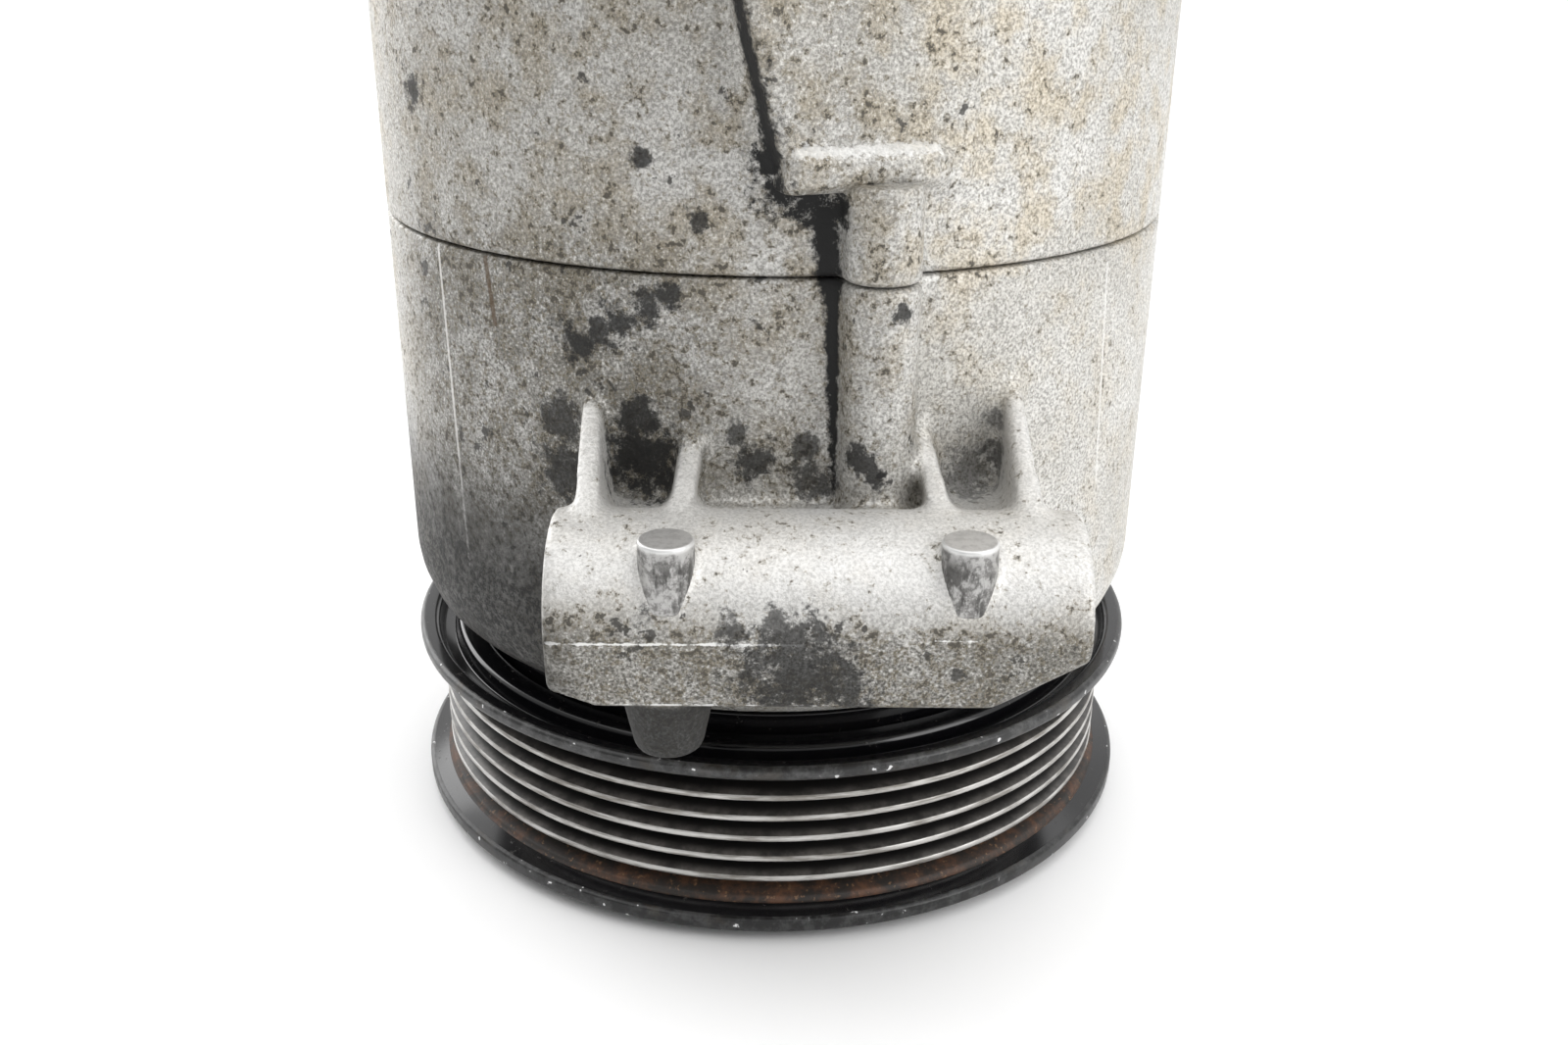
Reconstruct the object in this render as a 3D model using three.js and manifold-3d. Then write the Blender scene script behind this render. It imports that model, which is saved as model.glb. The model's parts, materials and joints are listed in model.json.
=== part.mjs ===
// An electromagnetic clutch on the swash-plate air-conditioning compressor that it drives.
// Millimetres, +Z up along the shaft. z = 0 is the clutch's front face, which the unit stands on.
// -Y is the side with the long mounting tube; the rear head is at the top.
import * as THREE from "three";
import { mergeVertices } from "three/addons/utils/BufferGeometryUtils.js";
import Module from "manifold-3d";

const wasm = await Module();
wasm.setup();

// ---- driving dimensions ----
const GAP = 0.3; // clearance kept between touching pieces
const FINE = 32; // segments round the outer castings and the pulley
const MEDIUM = 24; // segments round parts up to about 100 mm across
const ROUND = 16; // segments round the shaft, the tubes and the cylinders
const SMALL = 8; // segments round pins, rivets and bolts

// Belt pulley and rotor
const RIB_PITCH = 3.56; // PK belt profile
const RIB_COUNT = 6; // grooves
const RIB_R = 58.8; // outer radius of the ribs
const RIB_DEPTH = 3.2;
const FIRST_GROOVE_Z = 7.21;
const GROOVE_TOP_HALF = 1.33;
const FLANGE_FRONT_R = 62.8;
const FLANGE_REAR_R = 62.45;
const ROTOR_FACE_Z = 7.5; // friction face
const ROTOR_FACE_T = 3.5;

// Bearing
const BEARING = { inner: 17.5, outer: 26, front: 9.3, rear: 26.3 };
const BALL_R = 2.6;
const RACE_R = 3; // of the race grooves
const BALL_CIRCLE_R = 21.75;
const BALL_COUNT = 10;

// Armature and hub
const AIR_GAP = 0.45;
const ARMATURE = { inner: 30, outer: 50.5, thickness: 3.95 };
const SPRING_T = 0.7;
const SPRING_Z = 2.1;
const HUB_RIVET_R = 36;
const ARMATURE_RIVET_R = 41;
const HUB_T = 1.8;

// Castings
const BODY_R = 61.5;
const CHAMBER_R = 51;
const SEAM_Z = 101.4;
const HEAD_Z = 168; // top of the cylinder block
const TOP_Z = 200; // rear face of the rear head
const FRONT_FACE_Z = 35;
const BOLT_CIRCLE_R = 55.7;
const BOLT_COUNT = 6;
const BOLT_R = 2.8;
const CYLINDERS = 6;
const BORE_R = 13.5;
const BORE_CIRCLE_R = 33.5;

// Front mounting tube, its pegs and its ribs
const TUBE = { y: -74, z: 62.5, r: 12, x0: -27.4, x1: 39.2, bore: 5.2 };
// The tube's lower half is squared off, with both front corners cut away underneath.
const SKIRT = { z: 53.5, top: -85.7, foot: -84.8, back: -70, left: -21, right: 26 };
const SKIRT_CORNERS = { left: 56, right: 60.5, rightBack: 55 }; // heights at the ends
const PEGS = { xs: [-12.4, 24], y: -82.3, r: 3.45, top: 74.8 };
const SHELF_Z = 71; // top of the web between the tube and the body
const RIBS = [
  { top: [-24, 86.5], foot: -22.4 },
  { top: [-9.8, 81.6], foot: -12.2 },
  { top: [19.4, 81.8], foot: 22.6 },
  { top: [32.6, 86.5], foot: 32.8 },
];

// Dowel boss across the seam, and the flat pad above it
const BOSS = { x: 13.8, y: -62.1, r: 5, top: 113.5 };
const PAD = { turn: 21, distance: 62.2, bottom: 112.6, top: 158 }; // turned by degrees towards +X
const LEDGE = { left: -21.4, right: -1.5, front: 63.8, top: 117.6 }; // along the pad's foot

// The two shorter mounting tubes, on the far side of the body
const REAR_TUBE = { y: 72, z: 62.5, r: 10.5, x0: -16, x1: 16, bore: 5.2 };
const UPPER_TUBE = { y: 71, z: 142, r: 10.5, x0: -16, x1: 16, bore: 5.2 };

// Rear head
const HEAD_BOTTOM = HEAD_Z + 5.2;
const PORT_BLOCK = { x: 27, y0: -20, y1: 13, bottom: 190, top: TOP_Z + 10 };
const PORT_Y = -3.5;
const PORT_DEPTH = 15;
const SUCTION_PORT = { x: 13.5, r: 8.2 };
const DISCHARGE_PORT = { x: -14, r: 6.7 };
const CONTROL_BOSS = { y: 3, z: 187, r: 11.5, x0: 20, x1: 66 };
const RELIEF_BOSS = { y: -6, z: 187, r: 8.5, x0: -65, x1: -40 };

// ---- solids ----
const TWO_PI = 2 * Math.PI;

// A closed three.js geometry as a manifold-3d solid, turned the right way out.
function solid(geometry) {
  const bare = geometry.index ? geometry.toNonIndexed() : geometry.clone();
  for (const name of Object.keys(bare.attributes)) {
    if (name !== "position") bare.deleteAttribute(name);
  }
  const merged = mergeVertices(bare, 1e-4);
  const vertProperties = merged.attributes.position.array;
  const triVerts = new Uint32Array(merged.index.array);
  const make = () => new wasm.Manifold(new wasm.Mesh({ numProp: 3, vertProperties, triVerts }));
  const made = make();
  if (made.volume() > 0) return made;
  for (let i = 0; i < triVerts.length; i += 3) {
    [triVerts[i + 1], triVerts[i + 2]] = [triVerts[i + 2], triVerts[i + 1]];
  }
  return make();
}

// A manifold-3d solid as a three.js geometry with flat faces.
function geometryOf(made) {
  const mesh = made.getMesh();
  const positions = new Float32Array(mesh.numVert * 3);
  for (let i = 0; i < mesh.numVert; i++) {
    const start = i * mesh.numProp;
    positions.set(mesh.vertProperties.subarray(start, start + 3), i * 3);
  }
  const geometry = new THREE.BufferGeometry();
  geometry.setAttribute("position", new THREE.BufferAttribute(positions, 3));
  geometry.setIndex(new THREE.BufferAttribute(new Uint32Array(mesh.triVerts), 1));
  const flat = geometry.toNonIndexed();
  flat.computeVertexNormals();
  return flat;
}

// A closed profile of [radius, z] points turned about Z.
function turned(profile, segments = MEDIUM) {
  const points = profile.map(([r, z]) => new THREE.Vector2(r, z));
  const first = profile[0];
  const last = profile[profile.length - 1];
  if (first[0] > 0 || last[0] > 0) points.push(points[0].clone());
  return solid(new THREE.LatheGeometry(points, segments).rotateX(Math.PI / 2));
}

function ring(inner, outer, z0, z1, segments = MEDIUM) {
  return turned([[inner, z0], [outer, z0], [outer, z1], [inner, z1]], segments);
}

function disc(r, z0, z1, segments = MEDIUM) {
  return turned([[0, z0], [r, z0], [r, z1], [0, z1]], segments);
}

function cone(r0, r1, z0, z1, segments = SMALL) {
  return turned([[0, z0], [r0, z0], [r1, z1], [0, z1]], segments);
}

function at(made, x, y, z = 0) {
  return made.translate([x, y, z]);
}

// A cylinder along X between x0 and x1.
function rodX(r, x0, x1, y, z, segments = SMALL) {
  return disc(r, 0, x1 - x0, segments).rotate([0, 90, 0]).translate([x0, y, z]);
}

function block(x0, x1, y0, y1, z0, z1) {
  const box = new THREE.BoxGeometry(x1 - x0, y1 - y0, z1 - z0);
  return solid(box.translate((x0 + x1) / 2, (y0 + y1) / 2, (z0 + z1) / 2));
}

// A closed outline in XY, raised from z0 to z1.
function raised(points, z0, z1) {
  const shape = new THREE.Shape(points.map(([x, y]) => new THREE.Vector2(x, y)));
  const options = { depth: z1 - z0, bevelEnabled: false };
  return solid(new THREE.ExtrudeGeometry(shape, options).translate(0, 0, z0));
}

// A closed outline in YZ, with its thickness along X centred on x.
function plateX(points, x, thickness) {
  return raised(points, -thickness / 2, thickness / 2)
    .rotate([90, 0, 90])
    .translate([x, 0, 0]);
}

function around(count, turn, make) {
  return Array.from({ length: count }, (_, i) => make(turn + (i * 360) / count, i));
}

function joined(list) {
  return list.reduce((whole, piece) => whole.add(piece));
}

function cut(made, ...tools) {
  return tools.flat().reduce((rest, tool) => rest.subtract(tool), made);
}

// The outline of a slot that follows an arc about the origin.
function arcSlot(r, width, centre, sweep, steps = 4) {
  const edge = (radius, from, to) =>
    Array.from({ length: steps }, (_, i) => {
      const angle = THREE.MathUtils.degToRad(from + ((to - from) * i) / (steps - 1));
      return [radius * Math.cos(angle), radius * Math.sin(angle)];
    });
  const from = centre - sweep / 2;
  const to = centre + sweep / 2;
  return [...edge(r + width / 2, from, to), ...edge(r - width / 2, to, from)];
}

// ---- materials ----
function finish(color, roughness, metalness) {
  return new THREE.MeshStandardMaterial({ color, roughness, metalness });
}
const CAST = finish(0xb9b6ae, 0.6, 0.7);
const MACHINED = finish(0xc4c6c9, 0.35, 0.9);
const STEEL = finish(0x8f9298, 0.35, 1);
const BLACK_STEEL = finish(0x17171a, 0.35, 0.6);
const COPPER = finish(0x9a4f2a, 0.4, 0.9);
const PLASTIC = finish(0x1d1e20, 0.6, 0);
const SEAL_RUBBER = finish(0x161616, 0.8, 0);
const GASKET = finish(0x3c4a44, 0.7, 0.1);

const compressor = new THREE.Group();
compressor.name = "clutch_and_compressor";

function piece(name, made, material) {
  const mesh = new THREE.Mesh(geometryOf(made), material);
  mesh.name = name;
  compressor.add(mesh);
  return made;
}

// ---- clutch ----
function grooveProfile() {
  const points = [];
  for (let k = 0; k < RIB_COUNT; k++) {
    const z = FIRST_GROOVE_Z + RIB_PITCH * k;
    points.push(
      [RIB_R, z - GROOVE_TOP_HALF],
      [RIB_R - RIB_DEPTH, z],
      [RIB_R, z + GROOVE_TOP_HALF],
    );
  }
  return points;
}

function pulleyRotor() {
  const bore = BEARING.outer + GAP;
  const discRear = ROTOR_FACE_Z + ROTOR_FACE_T;
  const rim = turned(
    [
      [45, ROTOR_FACE_Z],
      [53, ROTOR_FACE_Z],
      [55.6, 5.2],
      [56.6, 1.9],
      [62.2, 1.9],
      [FLANGE_FRONT_R, 2.5],
      [FLANGE_FRONT_R, 4.4],
      [59.2, 5.3],
      ...grooveProfile(),
      [59, 26.8],
      [FLANGE_REAR_R, 28.7],
      [FLANGE_REAR_R, 30.6],
      [59.6, 30.6],
      [59, 28.3],
      [56.3, 27.9],
      [56, 30.3],
      [51.9, 30.3],
      [51.9, discRear],
      [45, discRear],
    ],
    FINE,
  );
  const hub = turned([
    [24.3, ROTOR_FACE_Z],
    [47, ROTOR_FACE_Z],
    [47, discRear],
    [30, discRear],
    [30, 28.9],
    [bore, 28.9],
    [bore, 27.8],
    [27.6, 27.8],
    [27.6, 26.5],
    [bore, 26.5],
    [bore, 9],
    [24.3, 9],
  ]);
  const slots = [
    ...around(4, 0, (a) => raised(arcSlot(36.5, 3, a, 66), ROTOR_FACE_Z - 1, discRear + 1)),
    ...around(4, 45, (a) => raised(arcSlot(45.5, 3, a, 70), ROTOR_FACE_Z - 1, discRear + 1)),
  ];
  piece("pulley_rotor", cut(rim.add(hub), slots), BLACK_STEEL);
}

function bearing() {
  const { inner, outer, front, rear } = BEARING;
  const middle = (front + rear) / 2;
  const groove = (side) =>
    Array.from({ length: 4 }, (_, i) => {
      const angle = THREE.MathUtils.degToRad(-45 + 30 * i);
      const radius = BALL_CIRCLE_R + side * RACE_R * Math.cos(angle);
      return [radius, middle + RACE_R * Math.sin(angle)];
    });
  const outerRace = [
    [outer, front],
    [outer, rear],
    [24.9, rear],
    [23.6, rear - 0.4],
    ...groove(1).reverse(),
    [23.6, front + 0.4],
    [24.9, front],
  ];
  const innerRace = [
    [inner, front],
    [18.7, front],
    [19.9, front + 0.4],
    ...groove(-1),
    [19.9, rear - 0.4],
    [18.7, rear],
    [inner, rear],
  ];
  piece("bearing_outer_race", turned(outerRace, MEDIUM), STEEL);
  piece("bearing_inner_race", turned(innerRace, MEDIUM), STEEL);
  const balls = around(BALL_COUNT, 0, (degrees) => {
    const ball = solid(new THREE.IcosahedronGeometry(BALL_R));
    return at(ball, BALL_CIRCLE_R, 0, middle).rotate([0, 0, degrees]);
  });
  const cage = ring(BALL_CIRCLE_R - 0.5, BALL_CIRCLE_R + 0.5, middle - 4.4, middle + 4.4);
  piece("bearing_balls_in_cage", joined([cage, ...balls]), STEEL);
  piece("bearing_seal_front", ring(20.2, 23.3, front + 0.3, front + 1.3), SEAL_RUBBER);
  piece("bearing_seal_rear", ring(20.2, 23.3, rear - 1.3, rear - 0.3), SEAL_RUBBER);
}

// An open ring for a groove, with its gap at the given azimuth.
function snapRing(name, inner, outer, z0, z1, gapAt) {
  const opening = block(inner - 3, outer + 3, -3.5, 3.5, z0 - 1, z1 + 1).rotate([0, 0, gapAt]);
  piece(name, cut(ring(inner, outer, z0, z1), opening), STEEL);
}

function fieldCoil() {
  const back = 30.9;
  const rear = 33.1;
  const housing = [
    [20.8, back],
    [31, back],
    [31, 12],
    [33, 12],
    [33, 30.8],
    [49, 30.8],
    [49, 12],
    [51.2, 12],
    [51.2, rear],
    [20.8, rear],
  ];
  piece("coil_housing", turned(housing, MEDIUM), BLACK_STEEL);
  piece("coil_winding", ring(33.5, 48.5, 12.8, 30.5), COPPER);
  const tab = block(-6, 6, 51.6, 59, 31.4, 33.1);
  const grommet = at(cone(4.4, 3.4, 33, 34.6), 0, 55.4);
  piece("coil_lead_gland", tab.add(grommet).rotate([0, 0, -40]), PLASTIC);
}

function armature() {
  const front = ROTOR_FACE_Z - AIR_GAP - ARMATURE.thickness;
  const rear = ROTOR_FACE_Z - AIR_GAP;
  const slots = around(3, 60, (a) => raised(arcSlot(40.5, 2.8, a, 62), front - 1, rear + 1));
  const holes = around(3, 0, (a) =>
    at(disc(2.3, front - 1, rear + 1, SMALL), ARMATURE_RIVET_R, 0).rotate([0, 0, a]),
  );
  const body = turned(
    [
      [ARMATURE.inner, front],
      [ARMATURE.outer - 0.6, front],
      [ARMATURE.outer, front + 0.6],
      [ARMATURE.outer, rear],
      [ARMATURE.inner, rear],
    ],
    FINE,
  );
  piece("armature_plate", cut(body, slots, holes), STEEL);
  around(3, 0, (a, i) => {
    const rivet = turned(
      [[0, 0.7], [3.6, 0.7], [3.9, 1.6], [1.9, 1.6], [1.9, 6.4], [0, 6.4]],
      SMALL,
    );
    piece(`armature_rivet_${i + 1}`, at(rivet, ARMATURE_RIVET_R, 0).rotate([0, 0, a]), STEEL);
  });
}

// Three lobes: wide where the leaf springs are riveted, drawn in between.
function hubOutline() {
  const steps = 30;
  return Array.from({ length: steps }, (_, i) => {
    const angle = (TWO_PI * i) / steps;
    const r = 32.5 + 8 * Math.cos(3 * angle - Math.PI);
    return [r * Math.cos(angle), r * Math.sin(angle)];
  });
}

function hubAndSprings() {
  const flange = raised(hubOutline(), 0, HUB_T);
  const sleeve = disc(11.5, 1, 13, ROUND);
  const bore = disc(6.9, -1, 14, ROUND);
  const recess = disc(8.8, -1, 5.2, ROUND);
  const rivetHoles = around(3, 60, (a) =>
    at(disc(2.2, -1, 3, SMALL), HUB_RIVET_R, 0).rotate([0, 0, a]),
  );
  piece("drive_hub", cut(flange.add(sleeve), bore, recess, rivetHoles), BLACK_STEEL);
  around(3, 60, (a, i) => {
    const z0 = SPRING_Z;
    const z1 = SPRING_Z + SPRING_T;
    // A strip from the hub's rivet to the armature's rivet, 60 degrees further round.
    const end = [HUB_RIVET_R, 0];
    const turn = Math.PI / 3;
    const far = [ARMATURE_RIVET_R * Math.cos(turn), ARMATURE_RIVET_R * Math.sin(turn)];
    const length = Math.hypot(far[0] - end[0], far[1] - end[1]);
    const heading = (Math.atan2(far[1] - end[1], far[0] - end[0]) * 180) / Math.PI;
    const strip = joined([
      block(0, length, -4, 4, z0, z1),
      disc(5, z0, z1, SMALL),
      at(disc(5, z0, z1, SMALL), length, 0),
    ]);
    const hole = disc(2.3, z0 - 1, z1 + 1, SMALL);
    const holes = [hole, at(hole, length, 0)];
    const placed = at(cut(strip, holes).rotate([0, 0, heading]), end[0], end[1]);
    piece(`leaf_spring_${i + 1}`, placed.rotate([0, 0, a]), MACHINED);
    const rivet = disc(1.9, 0.2, 3, SMALL);
    piece(`hub_rivet_${i + 1}`, at(rivet, HUB_RIVET_R, 0).rotate([0, 0, a]), STEEL);
  });
  const head = disc(5.8, 0, 4, 6);
  const washer = disc(7.6, 4, 4.9, ROUND);
  const shank = disc(2.9, 4.5, 17, SMALL);
  piece("hub_bolt", joined([head, washer, shank]), STEEL);
}

// ---- compressor: front housing ----
function mountingTube({ y, z, r, x0, x1 }) {
  return rodX(r, x0, x1, y, z, MEDIUM);
}

// The web that carries a mounting tube on the body, and the tube's bore.
function tubeWithWeb(tube, webBottom, webTop) {
  const web = block(tube.x0 + 5, tube.x1 - 5, 40, tube.y, webBottom, webTop);
  return mountingTube(tube).add(web);
}

function tubeBore(tube) {
  return rodX(tube.bore, tube.x0 - 1, tube.x1 + 1, tube.y, tube.z, ROUND);
}

// The front tube: round above its parting plane, squared off below it.
function frontTube() {
  const { x0, x1, y, z } = TUBE;
  const { top, foot, back, left, right } = SKIRT;
  const skirt = wasm.Manifold.hull([
    [x0, top, z],
    [x1, top, z],
    [x0, back, z],
    [x1, back, z],
    [x0, foot, SKIRT_CORNERS.left],
    [left, foot, SKIRT.z],
    [right, foot, SKIRT.z],
    [x1, foot, SKIRT_CORNERS.right],
    [x1, y, SKIRT_CORNERS.rightBack],
    [x1, back, SKIRT_CORNERS.rightBack],
    [x0, y, SKIRT.z],
    [x0, back, SKIRT.z],
    [right, back, SKIRT.z],
  ]);
  const upper = mountingTube(TUBE).intersect(block(x0 - 1, x1 + 1, -90, back + 10, z, z + 20));
  const web = block(x0 + 5, x1 - 5, y, -40, SKIRT.z, SHELF_Z);
  return joined([upper, skirt, web]);
}

function ribs() {
  return RIBS.map(({ top, foot }) => {
    const [x, z] = top;
    const surface = Math.sqrt(BODY_R * BODY_R - x * x);
    const lean = Math.atan2(foot - x, z - SHELF_Z);
    const outline = [
      [-surface + 4, z + 2],
      [-surface - 1, z],
      [TUBE.y - 5.5, SHELF_Z + 1.5],
      [TUBE.y - 5.5, SHELF_Z - 6],
      [-surface + 4, SHELF_Z - 6],
    ];
    const shifted = outline.map(([py, pz]) => [py, pz - z]);
    const plate = plateX(shifted, 0, 3.4).rotate([0, (lean * 180) / Math.PI, 0]);
    return plate.translate([x, 0, z]);
  });
}

function pegs() {
  return PEGS.xs.map((x) => at(cone(PEGS.r, PEGS.r - 0.25, 60, PEGS.top), x, PEGS.y));
}

function boss(z0, z1) {
  const { x, y, r } = BOSS;
  const round = at(disc(r, z0, z1, ROUND), x, y);
  const neck = block(-r, r, 0, 9, z0, z1).rotate([0, 0, 12.6]).translate([x, y, 0]);
  return round.add(neck);
}

function boltPositions(make) {
  return around(BOLT_COUNT, 30, (a) => at(make(), BOLT_CIRCLE_R, 0).rotate([0, 0, a]));
}

function frontHousing() {
  const bowl = turned(
    [
      [30, FRONT_FACE_Z],
      [54, FRONT_FACE_Z],
      [58.8, 38.4],
      [BODY_R, 45],
      [BODY_R, SEAM_Z - 0.2],
      [CHAMBER_R, SEAM_Z - 0.2],
      [CHAMBER_R, 50],
      [47, 46],
      [30, 46],
    ],
    FINE,
  );
  const nose = turned([
    [13.2, 6.3],
    [17.2, 6.3],
    [17.2, 7.8],
    [16.1, 7.8],
    [16.1, 9.1],
    [17.2, 9.1],
    [17.2, 26.6],
    [20.4, 26.6],
    [20.4, 29.5],
    [19.4, 29.5],
    [19.4, 30.7],
    [20.4, 30.7],
    [20.4, 33.4],
    [37, 33.4],
    [37, 46],
    [11.3, 46],
    [11.3, 28],
    [9.4, 27.6],
    [9.4, 22.4],
    [13.2, 22.4],
    [13.2, 14.4],
    [14.2, 14.4],
    [14.2, 13],
    [13.2, 13],
  ]);
  const lowerBoss = boss(64, SEAM_Z - 0.2);
  const tapered = at(cone(3.3, 5.6, 43.5, SKIRT.z + 1), -13, -77);
  const keepOut = disc(56, 40, SEAM_Z + 1, FINE);
  const outside = joined([
    frontTube(),
    tubeWithWeb(REAR_TUBE, 55, 71),
    ...ribs(),
    ...pegs(),
    lowerBoss,
    tapered,
  ]).subtract(keepOut);
  const whole = joined([bowl, nose, outside]);
  const boltHoles = boltPositions(() => disc(BOLT_R + GAP, 84, SEAM_Z + 1, SMALL));
  const dowelHole = at(disc(2.5, 93, SEAM_Z + 1, SMALL), BOSS.x, BOSS.y);
  piece(
    "front_housing",
    cut(whole, boltHoles, dowelHole, tubeBore(TUBE), tubeBore(REAR_TUBE)),
    CAST,
  );
}

// ---- compressor: rotating and reciprocating parts ----
function shaftAssembly() {
  const shaft = turned(
    [
      [0, 20],
      [3.2, 20],
      [3.2, 5.6],
      [6.2, 5.6],
      [6.6, 6],
      [6.6, 13.6],
      [8, 14.2],
      [8, 27],
      [9, 27.4],
      [9, 100],
      [8, 101],
      [8, 150],
      [7.6, 150.4],
      [0, 150.4],
    ],
    ROUND,
  );
  piece("drive_shaft", shaft, MACHINED);
  piece("shaft_seal", ring(8.3, 12.9, 15.2, 22, ROUND), SEAL_RUBBER);
  snapRing("seal_snap_ring", 10.6, 13.9, 13.3, 14.1, 0);
  piece("front_needle_bearing", ring(9.3, 11, 30, 44, ROUND), STEEL);
  piece("rear_needle_bearing", ring(8.3, 11, 112, 126, ROUND), STEEL);
  piece("front_thrust_bearing", ring(13, 30, 46.4, 49.4), STEEL);
  const lugs = [block(18, 25, -12, -5, 59, 68), block(18, 25, 5, 12, 59, 68)];
  piece("lug_plate", joined([ring(9.3, 36, 49.8, 60), ...lugs]), STEEL);
  const plate = ring(10, 42, 71, 77);
  const collar = ring(10, 15, 68.6, 84);
  const arm = block(20, 26, -4.6, 4.6, 61, 72);
  piece("swash_plate", joined([plate, collar, arm]), STEEL);
  piece("return_spring", coilSpring(12.4, 1, 85.4, 97.2, 3), STEEL);
}

// A closed helix of round wire about the shaft.
function coilSpring(radius, wire, z0, z1, turns) {
  class Helix extends THREE.Curve {
    getPoint(t) {
      const angle = TWO_PI * turns * t;
      const height = z0 + (z1 - z0) * t;
      return new THREE.Vector3(radius * Math.cos(angle), radius * Math.sin(angle), height);
    }
  }
  const section = new THREE.Shape();
  section.absarc(0, 0, wire, 0, TWO_PI, false);
  const options = { steps: 8 * turns, extrudePath: new Helix(), curveSegments: 4 };
  return solid(new THREE.ExtrudeGeometry(section, options));
}

// One piston, at the middle of its stroke: a crown in its bore and two jaws round the plate's rim.
function pistons() {
  around(CYLINDERS, 0, (a, i) => {
    const crown = at(disc(BORE_R - GAP, 108, 146, ROUND), BORE_CIRCLE_R, 0);
    const groove = at(ring(BORE_R - 1.2, BORE_R + 2, 141, 142.5, ROUND), BORE_CIRCLE_R, 0);
    const bridge = block(43, 45.5, -7, 7, 61, 104);
    const jaws = [block(29, 44, -7, 7, 77.4, 109), block(29, 44, -7, 7, 61, 70.6)];
    const body = joined([crown, bridge, ...jaws]).subtract(groove);
    piece(`piston_${i + 1}`, body.rotate([0, 0, a]), MACHINED);
  });
}

// ---- compressor: cylinder block and rear head ----
// The flat pad with its slanted left edge, and the ledge along its foot. Both are made facing -Y.
function pad() {
  const { turn, distance, bottom, top } = PAD;
  const depth = 16;
  const outline = [
    [-20.6, bottom],
    [4, bottom],
    [4, top],
    [-27, top],
    [-27, 134],
    [-22.6, bottom + 5.2],
  ];
  const slab = at(raised(outline, 0, depth).rotate([90, 0, 0]), 0, depth - distance);
  const ledge = block(LEDGE.left, LEDGE.right, -LEDGE.front, depth - distance, bottom, LEDGE.top);
  return slab.add(ledge).rotate([0, 0, turn]);
}

function boreHoles(z0, z1) {
  return around(CYLINDERS, 0, (a) =>
    at(disc(BORE_R, z0, z1, ROUND), BORE_CIRCLE_R, 0).rotate([0, 0, a]),
  );
}

function cylinderBlock() {
  const body = turned(
    [
      [0, 104.6],
      [CHAMBER_R - 4, 104.6],
      [CHAMBER_R - 4, 97.6],
      [49.3, 97.6],
      [49.3, 98.6],
      [48.2, 98.6],
      [48.2, 100.6],
      [CHAMBER_R - GAP, 100.6],
      [CHAMBER_R - GAP, SEAM_Z + 0.2],
      [BODY_R, SEAM_Z + 0.2],
      [BODY_R, HEAD_Z],
      [0, HEAD_Z],
    ],
    FINE,
  );
  const outside = joined([boss(SEAM_Z + 0.2, BOSS.top), pad(), tubeWithWeb(UPPER_TUBE, 134, 150)]);
  const keepOut = disc(56, SEAM_Z, HEAD_Z + 1, FINE);
  const whole = body.add(outside.subtract(keepOut));
  const bearingBore = disc(11.3, 104, 130, ROUND);
  const shaftBore = disc(9, 129, 152, ROUND);
  const dowelHole = at(disc(2.5, SEAM_Z - 1, 109, SMALL), BOSS.x, BOSS.y);
  const boltHoles = boltPositions(() => disc(BOLT_R + GAP, SEAM_Z - 1, HEAD_Z + 1, SMALL));
  const bores = [...boreHoles(104, HEAD_Z + 1), bearingBore, shaftBore, tubeBore(UPPER_TUBE)];
  piece("cylinder_block", cut(whole, bores, dowelHole, boltHoles), CAST);
  piece("housing_o_ring", ring(48.7, 50.6, 98.8, 100.4, FINE), SEAL_RUBBER);
  piece("locating_dowel", at(disc(2.2, 94, 108, SMALL), BOSS.x, BOSS.y), STEEL);
}

function platesUnderHead() {
  const bolts = (z0, z1) => boltPositions(() => disc(BOLT_R + GAP, z0 - 1, z1 + 1, SMALL));
  const stack = [
    ["suction_reed_plate", HEAD_Z + 0.3, HEAD_Z + 0.8, STEEL, 33.5],
    ["valve_plate", HEAD_Z + 1.1, HEAD_Z + 3.9, STEEL, 28],
    ["head_gasket", HEAD_Z + 4.2, HEAD_Z + 4.9, GASKET, 38],
  ];
  for (const [name, z0, z1, material, portCircle] of stack) {
    const ports = around(CYLINDERS, 0, (a) =>
      at(disc(3, z0 - 1, z1 + 1, 6), portCircle, 0).rotate([0, 0, a]),
    );
    piece(name, cut(disc(BODY_R - 0.3, z0, z1, FINE), bolts(z0, z1), ports), material);
  }
}

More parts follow.
